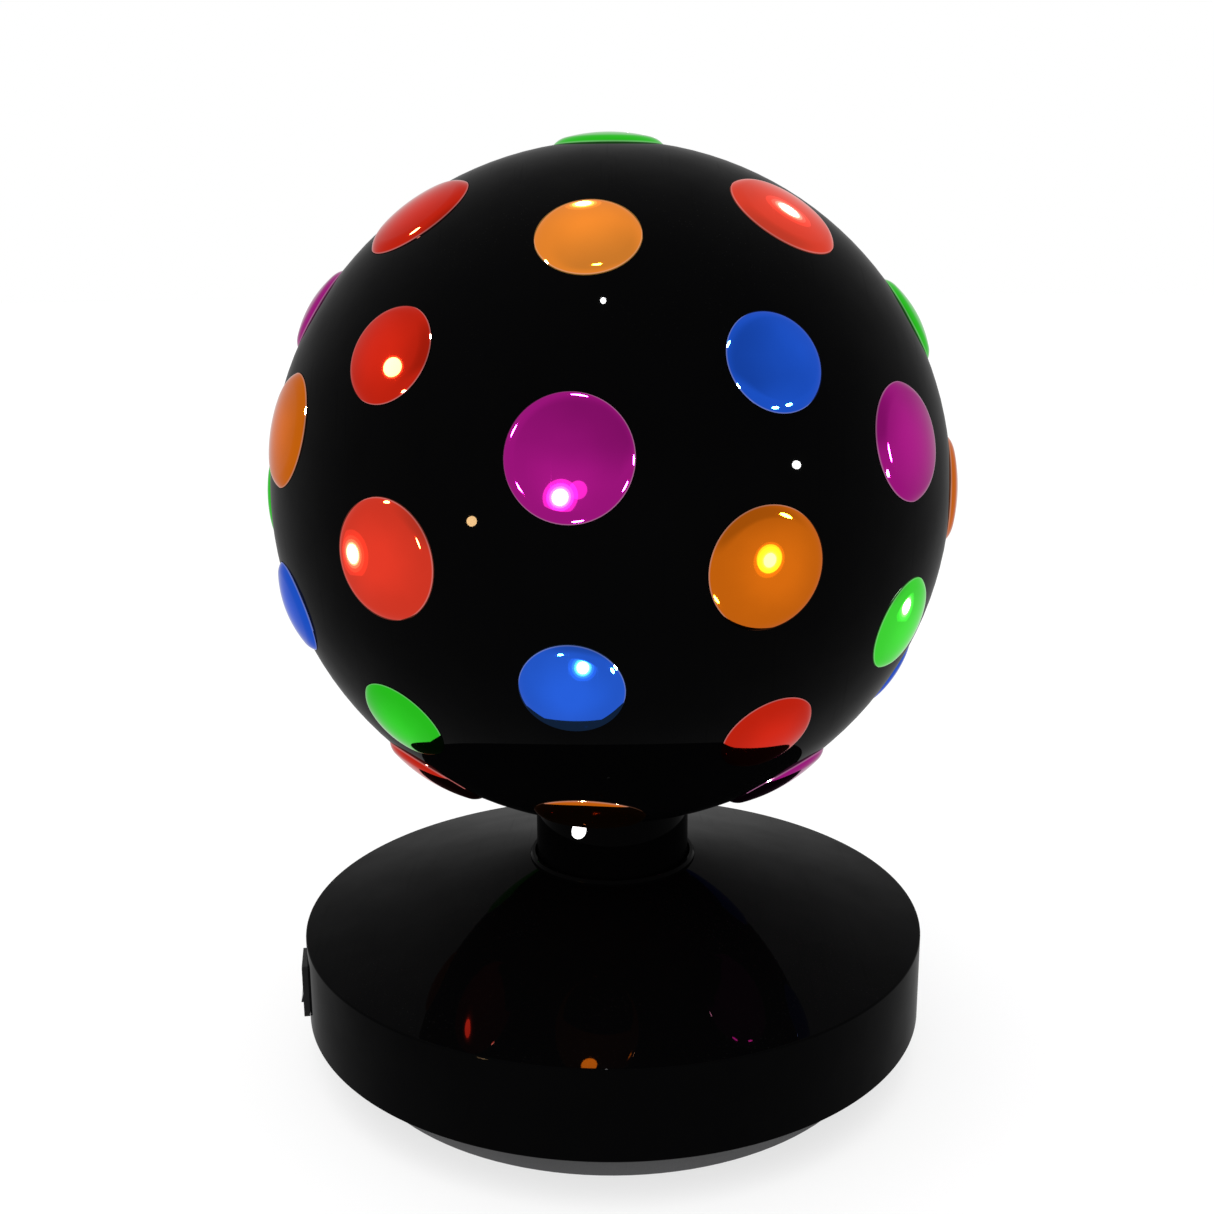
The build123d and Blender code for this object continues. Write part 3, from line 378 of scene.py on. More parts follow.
def own_place(tree):
    return add_node(tree, "ShaderNodeTexCoord").outputs["Object"]


def noise(tree, place, scale, detail, roughness=0.5):
    return add_node(tree, "ShaderNodeTexNoise", {"Vector": place, "Scale": scale, "Detail": detail,
                                                 "Roughness": roughness}).outputs["Fac"]


def reckon(tree, operation, first, second, clamp=False):
    return add_node(tree, "ShaderNodeMath", {0: first, 1: second}, operation=operation,
                    use_clamp=clamp).outputs[0]


def ranged(tree, value, low, high, to_low=0.0, to_high=1.0, kind="LINEAR"):
    """A value carried from one range to another and held inside it."""
    return add_node(tree, "ShaderNodeMapRange",
                    {"Value": value, "From Min": low, "From Max": high, "To Min": to_low,
                     "To Max": to_high}, interpolation_type=kind).outputs["Result"]


def blend(tree, share, first, second):
    """A mix of two colours."""
    return add_node(tree, "ShaderNodeMix", {"Factor": share, 6: first, 7: second},
                    data_type="RGBA").outputs[2]


NUMBER, COLOUR = "NodeSocketFloat", "NodeSocketColor"


def start_group(name, inputs, outputs):
    """A new shader node group with (name, default) inputs and (name, kind) outputs."""
    tree = bpy.data.node_groups.new(name, "ShaderNodeTree")
    for label, default in inputs:
        colour = isinstance(default, tuple)
        socket = tree.interface.new_socket(label, in_out="INPUT",
                                           socket_type=COLOUR if colour else NUMBER)
        socket.default_value = (*default, 1.0) if colour else default
    for label, kind in outputs:
        tree.interface.new_socket(label, in_out="OUTPUT", socket_type=kind)
    given = tree.nodes.new("NodeGroupInput")
    result = tree.nodes.new("NodeGroupOutput")
    return tree, given.outputs, result.inputs


def handling_marks(name):
    """Fine hairlines and faint smudges: a varied roughness, a height and a wear mask."""
    tree, given, result = start_group(
        name, [("Roughness", 0.1), ("Smudge", 0.03), ("Hairline", 0.03), ("Scale", 60.0)],
        [("Roughness", NUMBER), ("Height", NUMBER), ("Wear", NUMBER)])
    place = own_place(tree)
    cloud = noise(tree, place, given["Scale"], 4.0, 0.6)
    lines = None
    for turn in (0.4, 2.1, 4.0):
        fibre = add_node(tree, "ShaderNodeMapping",
                         {"Vector": place, "Rotation": (turn, 1.3 * turn, 0.7 * turn),
                          "Scale": (900.0, 26.0, 26.0)}).outputs["Vector"]
        thin = ranged(tree, noise(tree, fibre, 1.0, 1.0), 0.70, 0.76)
        lines = thin if lines is None else reckon(tree, "MAXIMUM", lines, thin)
    smudge = ranged(tree, cloud, 0.42, 0.72, 0.0, given["Smudge"])
    scratch = reckon(tree, "MULTIPLY", lines, given["Hairline"])
    dull = reckon(tree, "ADD", given["Roughness"], smudge)
    worn = reckon(tree, "MULTIPLY", lines, 0.5)
    give(tree, result, {
        "Roughness": reckon(tree, "ADD", dull, scratch, clamp=True),
        "Height": reckon(tree, "MULTIPLY", lines, -1.0),
        "Wear": reckon(tree, "ADD", worn, ranged(tree, cloud, 0.35, 0.75), clamp=True)})
    return tree


def settled_dust(name):
    """Fine dust on faces that look up: a colour with specks."""
    tree, given, result = start_group(
        name, [("Colour", (0.01, 0.01, 0.01)), ("Amount", 0.05), ("Dust", (0.4, 0.39, 0.37))],
        [("Colour", COLOUR)])
    place = own_place(tree)
    normal = add_node(tree, "ShaderNodeNewGeometry").outputs["Normal"]
    facing = add_node(tree, "ShaderNodeSeparateXYZ", {"Vector": normal}).outputs["Z"]
    speck = add_node(tree, "ShaderNodeTexVoronoi", {"Vector": place, "Scale": 900.0})
    mask = reckon(tree, "MULTIPLY", ranged(tree, facing, 0.2, 0.95),
                  ranged(tree, noise(tree, place, 45.0, 5.0), 0.35, 0.75))
    mask = reckon(tree, "MULTIPLY", mask, ranged(tree, speck.outputs["Distance"], 0.16, 0.06))
    mask = reckon(tree, "MULTIPLY", mask, given["Amount"], clamp=True)
    give(tree, result, {"Colour": blend(tree, mask, given["Colour"], given["Dust"])})
    return tree


def moulded_grain(name):
    """The grain of a spark-eroded mould: a colour that varies a little and a height."""
    tree, given, result = start_group(
        name, [("Colour", (0.05, 0.05, 0.05)), ("Lighter", (0.08, 0.08, 0.08)),
               ("Scale", 2200.0)], [("Colour", COLOUR), ("Height", NUMBER)])
    place = own_place(tree)
    fine = noise(tree, place, given["Scale"], 3.0, 0.7)
    both = reckon(tree, "MULTIPLY", fine, noise(tree, place, 28.0, 3.0))
    share = ranged(tree, both, 0.12, 0.42)
    give(tree, result, {"Colour": blend(tree, share, given["Colour"], given["Lighter"]),
                        "Height": fine})
    return tree


def lens_depth(name):
    """A lens's tint by its own reach attribute: a painted highlight line at the rim over a body
    with painted shade, darker towards the edge and swayed a little at random.

    Its glow is the square root of the tint, by a share that follows the lit attribute; on the
    ball's lenses it is painted glow, on the LEDs their own light.
    """
    tree, given, result = start_group(
        name, [("Colour", (0.5, 0.0, 0.0)), ("Deep", (0.3, 0.0, 0.0)),
               ("Rim", (0.8, 0.3, 0.3)), ("Unlit", 0.005)],
        [("Colour", COLOUR), ("Glow", COLOUR)])
    reach, lit = (add_node(tree, "ShaderNodeAttribute", attribute_name=key).outputs["Fac"]
                  for key in ("reach", "lit"))
    sway = ranged(tree, noise(tree, own_place(tree), 70.0, 2.0), 0.3, 0.7, -0.12, 0.12)
    # Painted shade: the body darkens from its colour to the darker tint towards the edge.
    body = ranged(tree, reckon(tree, "ADD", reach, sway), 0.15, 0.95, kind="SMOOTHSTEP")
    mixed = blend(tree, body, given["Colour"], given["Deep"])
    # Painted glow on the ball's lenses, by the lit share; on the LEDs it is their own light.
    pale = add_node(tree, "ShaderNodeGamma", {"Color": mixed, "Gamma": 0.5}).outputs["Color"]
    share = reckon(tree, "MAXIMUM", lit, given["Unlit"])
    glow = add_node(tree, "ShaderNodeVectorMath", {0: pale, "Scale": share}, operation="SCALE")
    # Painted highlight: a paler line at the lens's rim.
    rim = ranged(tree, reach, 0.982, 0.994)
    give(tree, result, {"Colour": blend(tree, rim, mixed, given["Rim"]),
                        "Glow": glow.outputs["Vector"]})
    return tree


def start_material(name, settings):
    """A material with only its shader and output, and the shader's uniform values."""
    material = bpy.data.materials.new(name)
    material.use_nodes = True
    tree = material.node_tree
    tree.nodes.clear()
    shader = add_node(tree, "ShaderNodeBsdfPrincipled", settings)
    add_node(tree, "ShaderNodeOutputMaterial", {"Surface": shader.outputs["BSDF"]})
    return material, tree, shader


def use_group(tree, make, *values):
    """Places a shared group, built on its first use, and fills its first inputs in order."""
    group = bpy.data.node_groups.get(make.__name__) or make(make.__name__)
    return add_node(tree, "ShaderNodeGroup", dict(enumerate(values)), node_tree=group).outputs


def surface(tree, shader, colour, handling, relief, height=None):
    """Fills the shader's colour, its handled roughness and a bump; gives the wear mask.

    Handling is a roughness, a smudge and a hairline share; relief is the bump's strength
    and distance, and its height is the hairlines' own if none is given.
    """
    marks = use_group(tree, handling_marks, *handling)
    raised = add_node(tree, "ShaderNodeBump", {
        "Height": marks["Height"] if height is None else height,
        "Strength": relief[0], "Distance": relief[1]})
    give(tree, shader.inputs, {"Base Color": colour, "Roughness": marks["Roughness"],
                               "Normal": raised.outputs["Normal"]})
    return marks["Wear"]


def shade(colour, share, lift=0.0):
    return tuple(share * c + lift for c in colour)


def gloss_plastic(name, colour, roughness, level, dust=0.0):
    """Polished moulded plastic with hairlines, smudges and a little dust."""
    material, tree, shader = start_material(name, {"Specular IOR Level": level})
    settled = use_group(tree, settled_dust, colour, dust)
    surface(tree, shader, settled["Colour"], (roughness, 0.05, 0.10), (0.10, 0.01 * MM))
    return material


def polished_black(name, colour):
    """Black plastic polished like glass: one weak clear reflection, duller where worn."""
    material, tree, shader = start_material(
        name, {"Specular IOR Level": 0.0, "Coat IOR": 1.128, "Coat Roughness": 0.02})
    settled = use_group(tree, settled_dust, colour, 0.02)
    wear = surface(tree, shader, settled["Colour"], (0.2, 0.05, 0.10), (0.10, 0.01 * MM))
    give(tree, shader.inputs, {"Coat Weight": ranged(tree, wear, 0.0, 1.0, 0.31, 0.25)})
    return material


def grained_plastic(name, colour, lighter, roughness, level, grain=2200.0, depth=0.02):
    """Moulded plastic with an eroded grain."""
    material, tree, shader = start_material(name, {"Specular IOR Level": level})
    grained = use_group(tree, moulded_grain, colour, lighter, grain)
    surface(tree, shader, grained["Colour"], (roughness, 0.08, 0.05), (0.5, depth * MM),
            grained["Height"])
    return material


def worn_metal(name, colour, lighter, roughness, grain=900.0):
    """Plated or rolled metal with a fine grain and handling marks."""
    material, tree, shader = start_material(name, {"Metallic": 1.0})
    grained = use_group(tree, moulded_grain, colour, lighter, grain)
    surface(tree, shader, grained["Colour"], (roughness, 0.12, 0.2), (0.3, 0.01 * MM))
    return material


def circuit_board(name, mask_colour, copper_colour):
    """Solder mask over copper tracks, which stand a little proud."""
    material, tree, shader = start_material(name, {})
    tracks = add_node(tree, "ShaderNodeTexBrick",
                      {"Vector": own_place(tree), "Scale": 160.0, "Mortar Size": 0.06,
                       "Mortar Smooth": 0.2, "Color1": mask_colour, "Color2": mask_colour,
                       "Mortar": copper_colour}).outputs
    surface(tree, shader, tracks["Color"], (0.28, 0.1, 0.05), (0.4, 0.03 * MM), tracks["Fac"])
    return material


def lens_plastic(name, colour, edge_shade, rim, glow=3.0, unlit=1.0):
    """Tinted lens plastic: mirror-like from outside, with painted shade towards the edge, a
    painted highlight line at the rim, and a glow that is painted on the ball's lenses and is the
    LEDs' own light.

    The grazing tint lets the mirror's colour pale only a little: at 82 degrees a mirror of
    reflectance c reflects c + 0.473 (1 - c), times this tint.
    """
    material, tree, shader = start_material(
        name, {"Metallic": 1.0, "Specular Tint": shade(colour, 0.3, 0.66),
               "Emission Strength": glow})
    tint = use_group(tree, lens_depth, colour, edge_shade, rim, unlit)
    give(tree, shader.inputs, {"Emission Color": tint["Glow"]})
    surface(tree, shader, tint["Colour"], (0.035, 0.02, 0.03), (0.05, 0.01 * MM))
    return material


LENS_NAMES = ("red", "amber", "green", "blue", "magenta")
# Painted glow: the share of it that a lens without a light behind it keeps.
UNLIT_SHARE = 0.005  # what an unlit lens keeps of the full glow


def finishes():
    """How each slot's finish is made: a function above and its values."""
    colours = bpy.context.scene.disco_finish
    black, satin, grey = map(tuple, (colours.gloss_black, colours.satin_black,
                                     colours.foot_grey))
    rows = {
        "black_gloss": (polished_black, black),
        "black_matte": (grained_plastic, satin, shade(satin, 2.0), 0.42, 0.12),
        "black_rocker": (gloss_plastic, satin, 0.16, 0.2, 0.02),
        "grey_plastic": (grained_plastic, grey, shade(grey, 1.25), 0.5, 0.2, 2200.0, 0.03),
        "rubber": (grained_plastic, (0.016,) * 3, (0.03,) * 3, 0.78, 0.2, 1500.0),
        "zinc_steel": (worn_metal, (0.52, 0.52, 0.50), (0.68, 0.68, 0.64), 0.3),
        "sheet_steel": (worn_metal, (0.46, 0.47, 0.48), (0.6, 0.6, 0.61), 0.38, 500.0),
        "brass": (worn_metal, (0.66, 0.47, 0.18), (0.78, 0.6, 0.3), 0.26),
        "aluminium": (worn_metal, (0.62, 0.63, 0.64), (0.76, 0.76, 0.77), 0.34),
        "gear_plastic": (grained_plastic, (0.72, 0.71, 0.66), (0.8, 0.79, 0.75), 0.4, 0.4,
                         2200.0, 0.01),
        "circuit_board": (circuit_board, (0.012, 0.11, 0.035), (0.05, 0.22, 0.06)),
        "lamp_board": (circuit_board, (0.78, 0.78, 0.76), (0.62, 0.6, 0.5)),
        "coil_tape": (gloss_plastic, (0.75, 0.52, 0.05), 0.3, 0.5),
        "capacitor_sleeve": (gloss_plastic, (0.012, 0.02, 0.06), 0.25, 0.5),
        "terminal_green": (grained_plastic, (0.02, 0.22, 0.06), (0.03, 0.3, 0.09), 0.42, 0.4),
        "fuse_glass": (gloss_plastic, (0.6, 0.62, 0.6), 0.06, 0.5),
        "lead_sheath": (grained_plastic, (0.02, 0.02, 0.022), (0.04, 0.04, 0.042), 0.5, 0.35,
                        1200.0),
        # LEDs: colour, a darker tint for painted shade at the edge, a paler tint for a painted
        # highlight line at the rim; their glow is their own light.
        "led_red": (lens_plastic, (0.8, 0.05, 0.03), (0.6, 0.02, 0.01), (0.9, 0.5, 0.4)),
        "led_green": (lens_plastic, (0.05, 0.8, 0.1), (0.02, 0.6, 0.05), (0.5, 0.9, 0.5)),
        "led_blue": (lens_plastic, (0.05, 0.15, 0.9), (0.02, 0.08, 0.7), (0.5, 0.6, 0.95)),
        "led_white": (lens_plastic, (0.9, 0.88, 0.8), (0.8, 0.78, 0.7), (0.95, 0.95, 0.9)),
    }
    # Lenses: tint, a darker tint for painted shade at the edge, a paler tint for a painted
    # highlight line at the rim, and the painted glow's strength and unlit share.
    for colour in LENS_NAMES:
        tint = tuple(getattr(colours, colour))
        rows["lens_" + colour] = (lens_plastic, tint, shade(tint, 0.78), shade(tint, 0.6, 0.15),
                                  colours.lens_glow, UNLIT_SHARE)
    return rows


def finish(slot):
    """The material of a slot, made on its first use."""
    name = slot + "_finish"
    make, *values = finishes()[slot]
    return bpy.data.materials.get(name) or make(name, *values)


# Operators


def lens_tips(node):
    """Unit directions from the ball's centre to the tip of each lens of a CAD node.

    A tip is a point within a few microns of the node's greatest distance from the centre.
    """
    spokes = node_points(node) - BALL_CENTRE
    length = np.linalg.norm(spokes, axis=1)
    tips = spokes[length > length.max() - 0.002 * MM]
    tips /= np.linalg.norm(tips, axis=1)[:, None]
    return np.unique(np.round(tips, 4), axis=0)


def turns_to(directions):
    """Rotations that take +Z to each direction: columns are two across it and itself."""
    ahead = directions / np.linalg.norm(directions, axis=1)[:, None]
    aside = np.cross(np.array([0.0, 0.0, 1.0]), ahead)
    flat = np.linalg.norm(aside, axis=1) < TINY
    aside[flat] = (1.0, 0.0, 0.0)
    aside /= np.linalg.norm(aside, axis=1)[:, None]
    return np.stack([aside, np.cross(ahead, aside), ahead], axis=2)


def lens_outline(sizes, radius):
    """The lens's profile from its tip round the edge and flange to its hollow's top.

    The dome is a circle tangent to the edge's round, whose radius follows from its reach
    and rise, and the hollow is a circle through its rim and top.
    """
    def level(ball, reach):
        return np.sqrt(ball**2 - reach**2)

    edge = level(BALL_RADIUS, radius)
    apex = edge + sizes.rise
    reach = radius - sizes.edge_round * sin(sizes.edge_slope)
    base = edge + sizes.step - sizes.edge_round * cos(sizes.edge_slope)
    rise = apex - base
    dome = (reach**2 + rise**2 - sizes.edge_round**2) / (2 * (rise - sizes.edge_round))
    lean = atan2(reach, base - (apex - dome))
    seat = BALL_RADIUS - sizes.seat_depth
    back = seat - sizes.flange_thickness
    flange, bore = radius + sizes.flange_width, radius - sizes.wall
    hollow_rise = sizes.rise - sizes.wall
    hollow = (bore**2 + hollow_rise**2) / (2 * hollow_rise)
    steps, few = 10, 4

    def arc(reach, height, size, first, last, count, facing):
        angles = np.linspace(first, last, count)
        out = np.stack([np.sin(angles), np.cos(angles)], axis=1)
        return np.array([reach, height]) + size * out, facing * out

    def wall(reach, first, last, facing):
        return np.array([[reach, first], [reach, last]]), np.array([[facing, 0.0]] * 2)

    pieces = [
        arc(0, edge + hollow_rise - hollow, hollow, 0, np.arcsin(bore / hollow), steps, -1),
        wall(bore, edge, level(back, bore), -1),
        arc(0, 0, back, np.arcsin(bore / back), np.arcsin(flange / back), few, -1),
        wall(flange, level(back, flange), level(seat, flange), 1),
        arc(0, 0, seat, np.arcsin(flange / seat), np.arcsin(radius / seat), few, 1),
        wall(radius, level(seat, radius), edge + sizes.step, 1),
        arc(reach, base, sizes.edge_round, sizes.edge_slope, lean, steps, 1),
        arc(0, apex - dome, dome, lean, 0, 2 * steps, 1),
    ]
    points, normals = (np.concatenate(part) for part in zip(*pieces))
    points[[0, -1], 0] = 0.0
    return points, normals


class DISCO_OT_shells(bpy.types.Operator):
    """Dresses the two halves of the ball in polished black."""

    bl_idname = "disco.shells"
    bl_label = "Ball shells"

    def execute(self, context):
        for half in ("upper", "lower"):
            smooth_copy(f"gloss_{half}_shell", f"ball_{half}_shell", "ball", "black_gloss",
                        on_ball=True)
        return {"FINISHED"}


def direction(azimuth, rise):
    """A unit vector by its turn from the front towards +X and its rise."""
    return (sin(azimuth) * cos(rise), -cos(azimuth) * cos(rise), sin(rise))


# Turn from the front and rise, in degrees, of each lens that gets the painted glow, as if a light
# were on behind it, and its share of the full painted glow. A lens is meant if its tip lies within
# a few degrees.
PAINTED_GLOW_LENSES = ((-5.0, 47.2, 1.0), (48.3, 52.0, 0.8), (-34.7, -2.8, 0.5), (54.7, -16.7, 0.6),
              (-6.2, -20.9, 0.15))
PAINTED_GLOW_REACH = radians(4)


class DISCO_OT_lenses(bpy.types.Operator):
    """Turns every lens of the ball, one piece for each size and colour."""

    bl_idname = "disco.lenses"
    bl_label = "Lenses"

    def execute(self, context):
        sizes = context.scene.disco_lens
        lit = np.array([direction(radians(turn), radians(rise)) for turn, rise, _ in PAINTED_GLOW_LENSES])
        shares = np.array([share for _, _, share in PAINTED_GLOW_LENSES])
        for label, radius in (("large", sizes.large_radius), ("small", sizes.small_radius)):
            points, normals = lens_outline(sizes, radius)
            arrays = turned_arrays(points, normals, even_angles(sizes.segments))
            reach = reach_of(arrays[0]) / radius
            for colour in LENS_NAMES:
                node = f"lenses_{label}_{colour}"
                tips = lens_tips(node)
                turns = turns_to(tips)
                # Each lens's share of the painted glow, from the lenses listed above.
                painted_glow_shares = ((tips @ lit.T > cos(PAINTED_GLOW_REACH)) * shares).max(axis=1)
                piece = make_piece(f"domes_{label}_{colour}", placed(arrays, turns, BALL_CENTRE),
                                   "ball", node, "lens_" + colour)
                for key, values in (("reach", np.tile(reach, len(turns))),
                                    ("lit", np.repeat(painted_glow_shares, len(reach)))):
                    held = piece.data.attributes.new(key, "FLOAT", "POINT")
                    held.data.foreach_set("value", values.astype(np.float32))
        return {"FINISHED"}


class DISCO_OT_neck(bpy.types.Operator):
    """Dresses the neck sleeve and turns the collar round it."""

    bl_idname = "disco.neck"
    bl_label = "Neck and collar"

    def execute(self, context):
        smooth_copy("gloss_neck", "neck_sleeve", "ball", "black_gloss")
        sizes = context.scene.disco_base
        inner = NECK_RADIUS + sizes.running_gap
        outer = inner + sizes.collar_wall
        low, top = HUB_HEIGHT - sizes.collar_depth, HUB_HEIGHT + sizes.collar_rise
        corners = [(outer, low), (outer, HUB_HEIGHT),
                   (HUB_RADIUS, HUB_HEIGHT), (HUB_RADIUS, HUB_HEIGHT + sizes.collar_rise / 2),
                   (HUB_RADIUS - sizes.collar_rise / 4, top), (inner, top), (inner, low)]
        rounds = [0, 0, 0.1 * MM, 0.4 * MM, 0.15 * MM, 0.2 * MM, 0]
        points, normals = rounded_profile(corners, rounds, steps=5)
        arrays = turned_arrays(points, normals, even_angles(sizes.segments))
        make_piece("hub_collar", arrays, "base", "hub_ring", "black_gloss")
        return {"FINISHED"}


def wrapped(turn):
    """A turn brought between -pi and pi."""
    return (turn + pi) % (2 * pi) - pi


def window_of(node, wall):
    """Angle range and height range of the opening that a fitting's body needs in the skirt.

    The body is what lies inside the cover's wall; its half angle is the arc sine of its
    half width over the wall's inner radius.
    """
    points = node_points(node)
    inside = points[reach_of(points) < RIM_RADIUS - 2 * wall]
    middle = inside.mean(axis=0)
    heading = atan2(middle[1], middle[0])
    across = np.array([-sin(heading), cos(heading)])
    half = np.abs(inside[:, :2] @ across).max() + FIT_GAP
    spread = np.arcsin(half / (RIM_RADIUS - wall))
    low, high = inside[:, 2].min() - FIT_GAP, inside[:, 2].max() + FIT_GAP
    return heading % (2 * pi), spread, low, high


def outside(windows, middle):
    """Which faces, by their middles, lie in no window."""
    heading = np.arctan2(middle[:, 1], middle[:, 0])
    keep = np.ones(len(middle), bool)
    for centre, spread, low, high in windows:
        keep &= ~((np.abs(wrapped(heading - centre)) < spread)
                  & (middle[:, 2] > low) & (middle[:, 2] < high))
    return keep


def reveal(corners, levels, window, inner):
    """Quads through the wall round a window, from its outer edge to its inner edge."""
    centre, spread, low, high = window
    turn = wrapped(np.arctan2(corners[:, 1], corners[:, 0]) - centre)
    reach = reach_of(corners)
    steps = [level for level in levels if low <= level <= high]

    def row(radius, level):
        found = np.flatnonzero((np.abs(reach - radius) < TINY) & (np.abs(turn) < spread + TINY)
                               & (np.abs(corners[:, 2] - level) < TINY))
        return found[np.argsort(turn[found])]

    def rim(radius):
        rows = [row(radius, level) for level in steps]
        return np.concatenate([rows[0], [each[-1] for each in rows[1:-1]], rows[-1][::-1],
                               [each[0] for each in rows[-2:0:-1]]]).astype(int)

    outer, inside = rim(RIM_RADIUS), rim(inner)
    return np.stack([outer, np.roll(outer, -1), np.roll(inside, -1), inside], axis=1)


class DISCO_OT_cover(bpy.types.Operator):
    """Builds the base's cover: a rounded profile turned, with an opening for each fitting."""

    bl_idname = "disco.cover"
    bl_label = "Base cover"

    def execute(self, context):
        sizes = context.scene.disco_base
        wall = sizes.wall
        windows = [window_of(node, wall) for node in ("switch_housing", "inlet_housing")]
        levels = np.sort([level for window in windows for level in window[2:]])
        slope = (HUB_HEIGHT - RIM_HEIGHT) / (RIM_RADIUS - HUB_RADIUS)
        drop = wall * np.sqrt(1 + slope**2)

        def cone(reach):
            return RIM_HEIGHT + (RIM_RADIUS - reach) * slope

        inner = RIM_RADIUS - wall
        corners = [(RIM_RADIUS, SKIRT_LOW), *[(RIM_RADIUS, level) for level in levels],
                   (RIM_RADIUS, RIM_HEIGHT), (HUB_RADIUS, HUB_HEIGHT), (HUB_HOLE, HUB_HEIGHT),
                   (HUB_HOLE, cone(HUB_HOLE) - drop), (inner, cone(inner) - drop),
                   *[(inner, level) for level in levels[::-1]], (inner, SKIRT_LOW)]
        flat = [0.0] * len(levels)
        rounds = [sizes.edge_round, *flat, sizes.rim_round, 0.3 * MM, 0, 0, 0, *flat, 0]
        points, normals = rounded_profile(corners, rounds)
        edges = np.array([(heading + side * spread) % (2 * pi)
                          for heading, spread, _, _ in windows for side in (-1, 1)])
        angles = even_angles(sizes.segments)
        near = np.abs(wrapped(angles[:, None] - edges)).min(axis=1)
        angles = np.sort(np.concatenate([angles[near > LEAST_STEP * angles[1]], edges]))
        corners, faces, face_normals = turned_arrays(points, normals, angles)
        for index, face in enumerate(faces):
            kept = outside(windows, corners[face].mean(axis=1))
            faces[index], face_normals[index] = face[kept], face_normals[index][kept]
        for window in windows:
            face = reveal(corners, levels, window, inner)
            sides = corners[face]
            normal = np.cross(sides[:, 1] - sides[:, 0], sides[:, 3] - sides[:, 0])
            normal /= np.linalg.norm(normal, axis=1)[:, None]
            faces.append(face)
            face_normals.append(np.repeat(normal[:, None], 4, axis=1))
        make_piece("base_cover_shell", (corners, faces, face_normals), "base", "base_cover",
                   "black_gloss")
        return {"FINISHED"}


class DISCO_OT_foot(bpy.types.Operator):
    """Dresses the grey foot and its rubber pads."""

    bl_idname = "disco.foot"
    bl_label = "Foot and pads"

    def execute(self, context):
        smooth_copy("foot_tray", "base_plate", "base", "grey_plastic")
        smooth_copy("foot_pads", "rubber_feet", "base", "rubber")
        return {"FINISHED"}


class DISCO_OT_switch(bpy.types.Operator):
    """Dresses the switch's bezel and its plain rocker."""

    bl_idname = "disco.switch"
    bl_label = "Rocker switch"

    def execute(self, context):
        smooth_copy("switch_bezel", "switch_housing", "base", "black_matte", bevel=0.25 * MM)
        smooth_copy("rocker_cap", "switch_rocker", "rocker", "black_rocker", bevel=0.3 * MM)
        return {"FINISHED"}


class DISCO_OT_inlet(bpy.types.Operator):
    """Dresses the power inlet at the back and its pins."""

    bl_idname = "disco.inlet"
    bl_label = "Power inlet"

    def execute(self, context):
        smooth_copy("inlet_shell", "inlet_housing", "base", "black_matte", bevel=0.25 * MM)
        smooth_copy("inlet_contacts", "inlet_pins", "base", "brass")
        return {"FINISHED"}


class DISCO_OT_inner_parts(bpy.types.Operator):
    """Gives every carried-over CAD node the finish of its slot."""

    bl_idname = "disco.inner_parts"
    bl_label = "Inner parts"

    def execute(self, context):
        for name, piece in frame["nodes"].items():
            if piece.hide_render:
                continue
            material = finish(SLOTS[name])
            if not piece.material_slots:
                raise RuntimeError(f"{name} has no material slot to fill")
            for place in piece.material_slots:
                place.material = material
        return {"FINISHED"}


# Each lamp: azimuth from the front and rise in degrees, distance in metres, half widths
# round the line of sight and across it as shares of the distance, radiance, colour, and
# how the names of the pieces that reflect it start.
WARM, YELLOW, WHITE = (1.0, 0.62, 0.28), (1.0, 0.92, 0.55), (1.0, 1.0, 1.0)
CREAM = (1.0, 0.93, 0.75)
BLACKS = ("gloss_", "base_", "hub_")
SHELLS = ("gloss_upper", "gloss_lower")
LAMPS = (
    (-3.9, 65.7, 1.0, 0.013, 0.0195, 1300, WHITE, BLACKS),
    (58.4, 10.4, 1.0, 0.019, 0.027, 1300, WHITE, SHELLS),
    (-41.6, -2.2, 1.0, 0.0245, 0.029, 900, WARM, BLACKS),
    (-33.3, -72.0, 0.111, 0.041, 0.041, 1500, WHITE, "gloss_neck"),
    (-6.5, 1.0, 0.6, 0.078, 0.082, 1.7, WHITE, "domes_large_magenta"),
    (43.0, -9.0, 0.52, 0.115, 0.125, 4.0, YELLOW, "domes_large_amber"),
    (-65.4, 26.2, 0.8, 0.11, 0.148, 130, CREAM, "domes_small_red"),
    (-65.4, 26.2, 0.82, 0.128, 0.172, 4.0, CREAM, "domes_small_red"),
)
# The first five values of the lamps that make each group's rim glints.
GLINTS = {
    "domes_large_magenta": (
        (0.1, 77.9, 0.3, 0.12, 0.06), (-84.8, 29.1, 1.0, 0.09, 0.06),
        (-50.9, -8.6, 1.0, 0.09, 0.06), (-2.8, -40.0, 0.22, 0.09, 0.06),
        (44.6, -12.3, 0.3, 0.09, 0.06), (73.0, 6.0, 1.0, 0.09, 0.06)),
    "domes_large_amber": (
        (63.9, 22.1, 1.0, 0.13, 0.08), (-14.5, -37.8, 0.25, 0.09, 0.06),
        (-51.2, 40.8, 1.0, 0.10, 0.08)),
    "domes_large_red": ((-78.4, 46.2, 1.0, 0.09, 0.07), (-24.3, 5.9, 1.0, 0.09, 0.05)),
    "domes_small_red": ((37.6, 61.0, 1.0, 0.09, 0.06), (-25.9, -15.6, 0.6, 0.09, 0.06)),
    "domes_small_blue": (
        (-54.7, 56.3, 1.0, 0.11, 0.06), (-21.7, -2.3, 1.0, 0.07, 0.05),
        (55.0, -6.0, 0.5, 0.09, 0.06), (37.0, -15.5, 0.35, 0.09, 0.06)),
    "domes_small_amber": ((5.7, 35.5, 1.0, 0.09, 0.06), (-74.3, 14.7, 1.0, 0.09, 0.06)),
    "domes_": ((178.0, 8.0, 1.0, 0.06, 0.05), (-166.0, -13.0, 0.65, 0.05, 0.05)),
}
GLINT_RADIANCE = 300
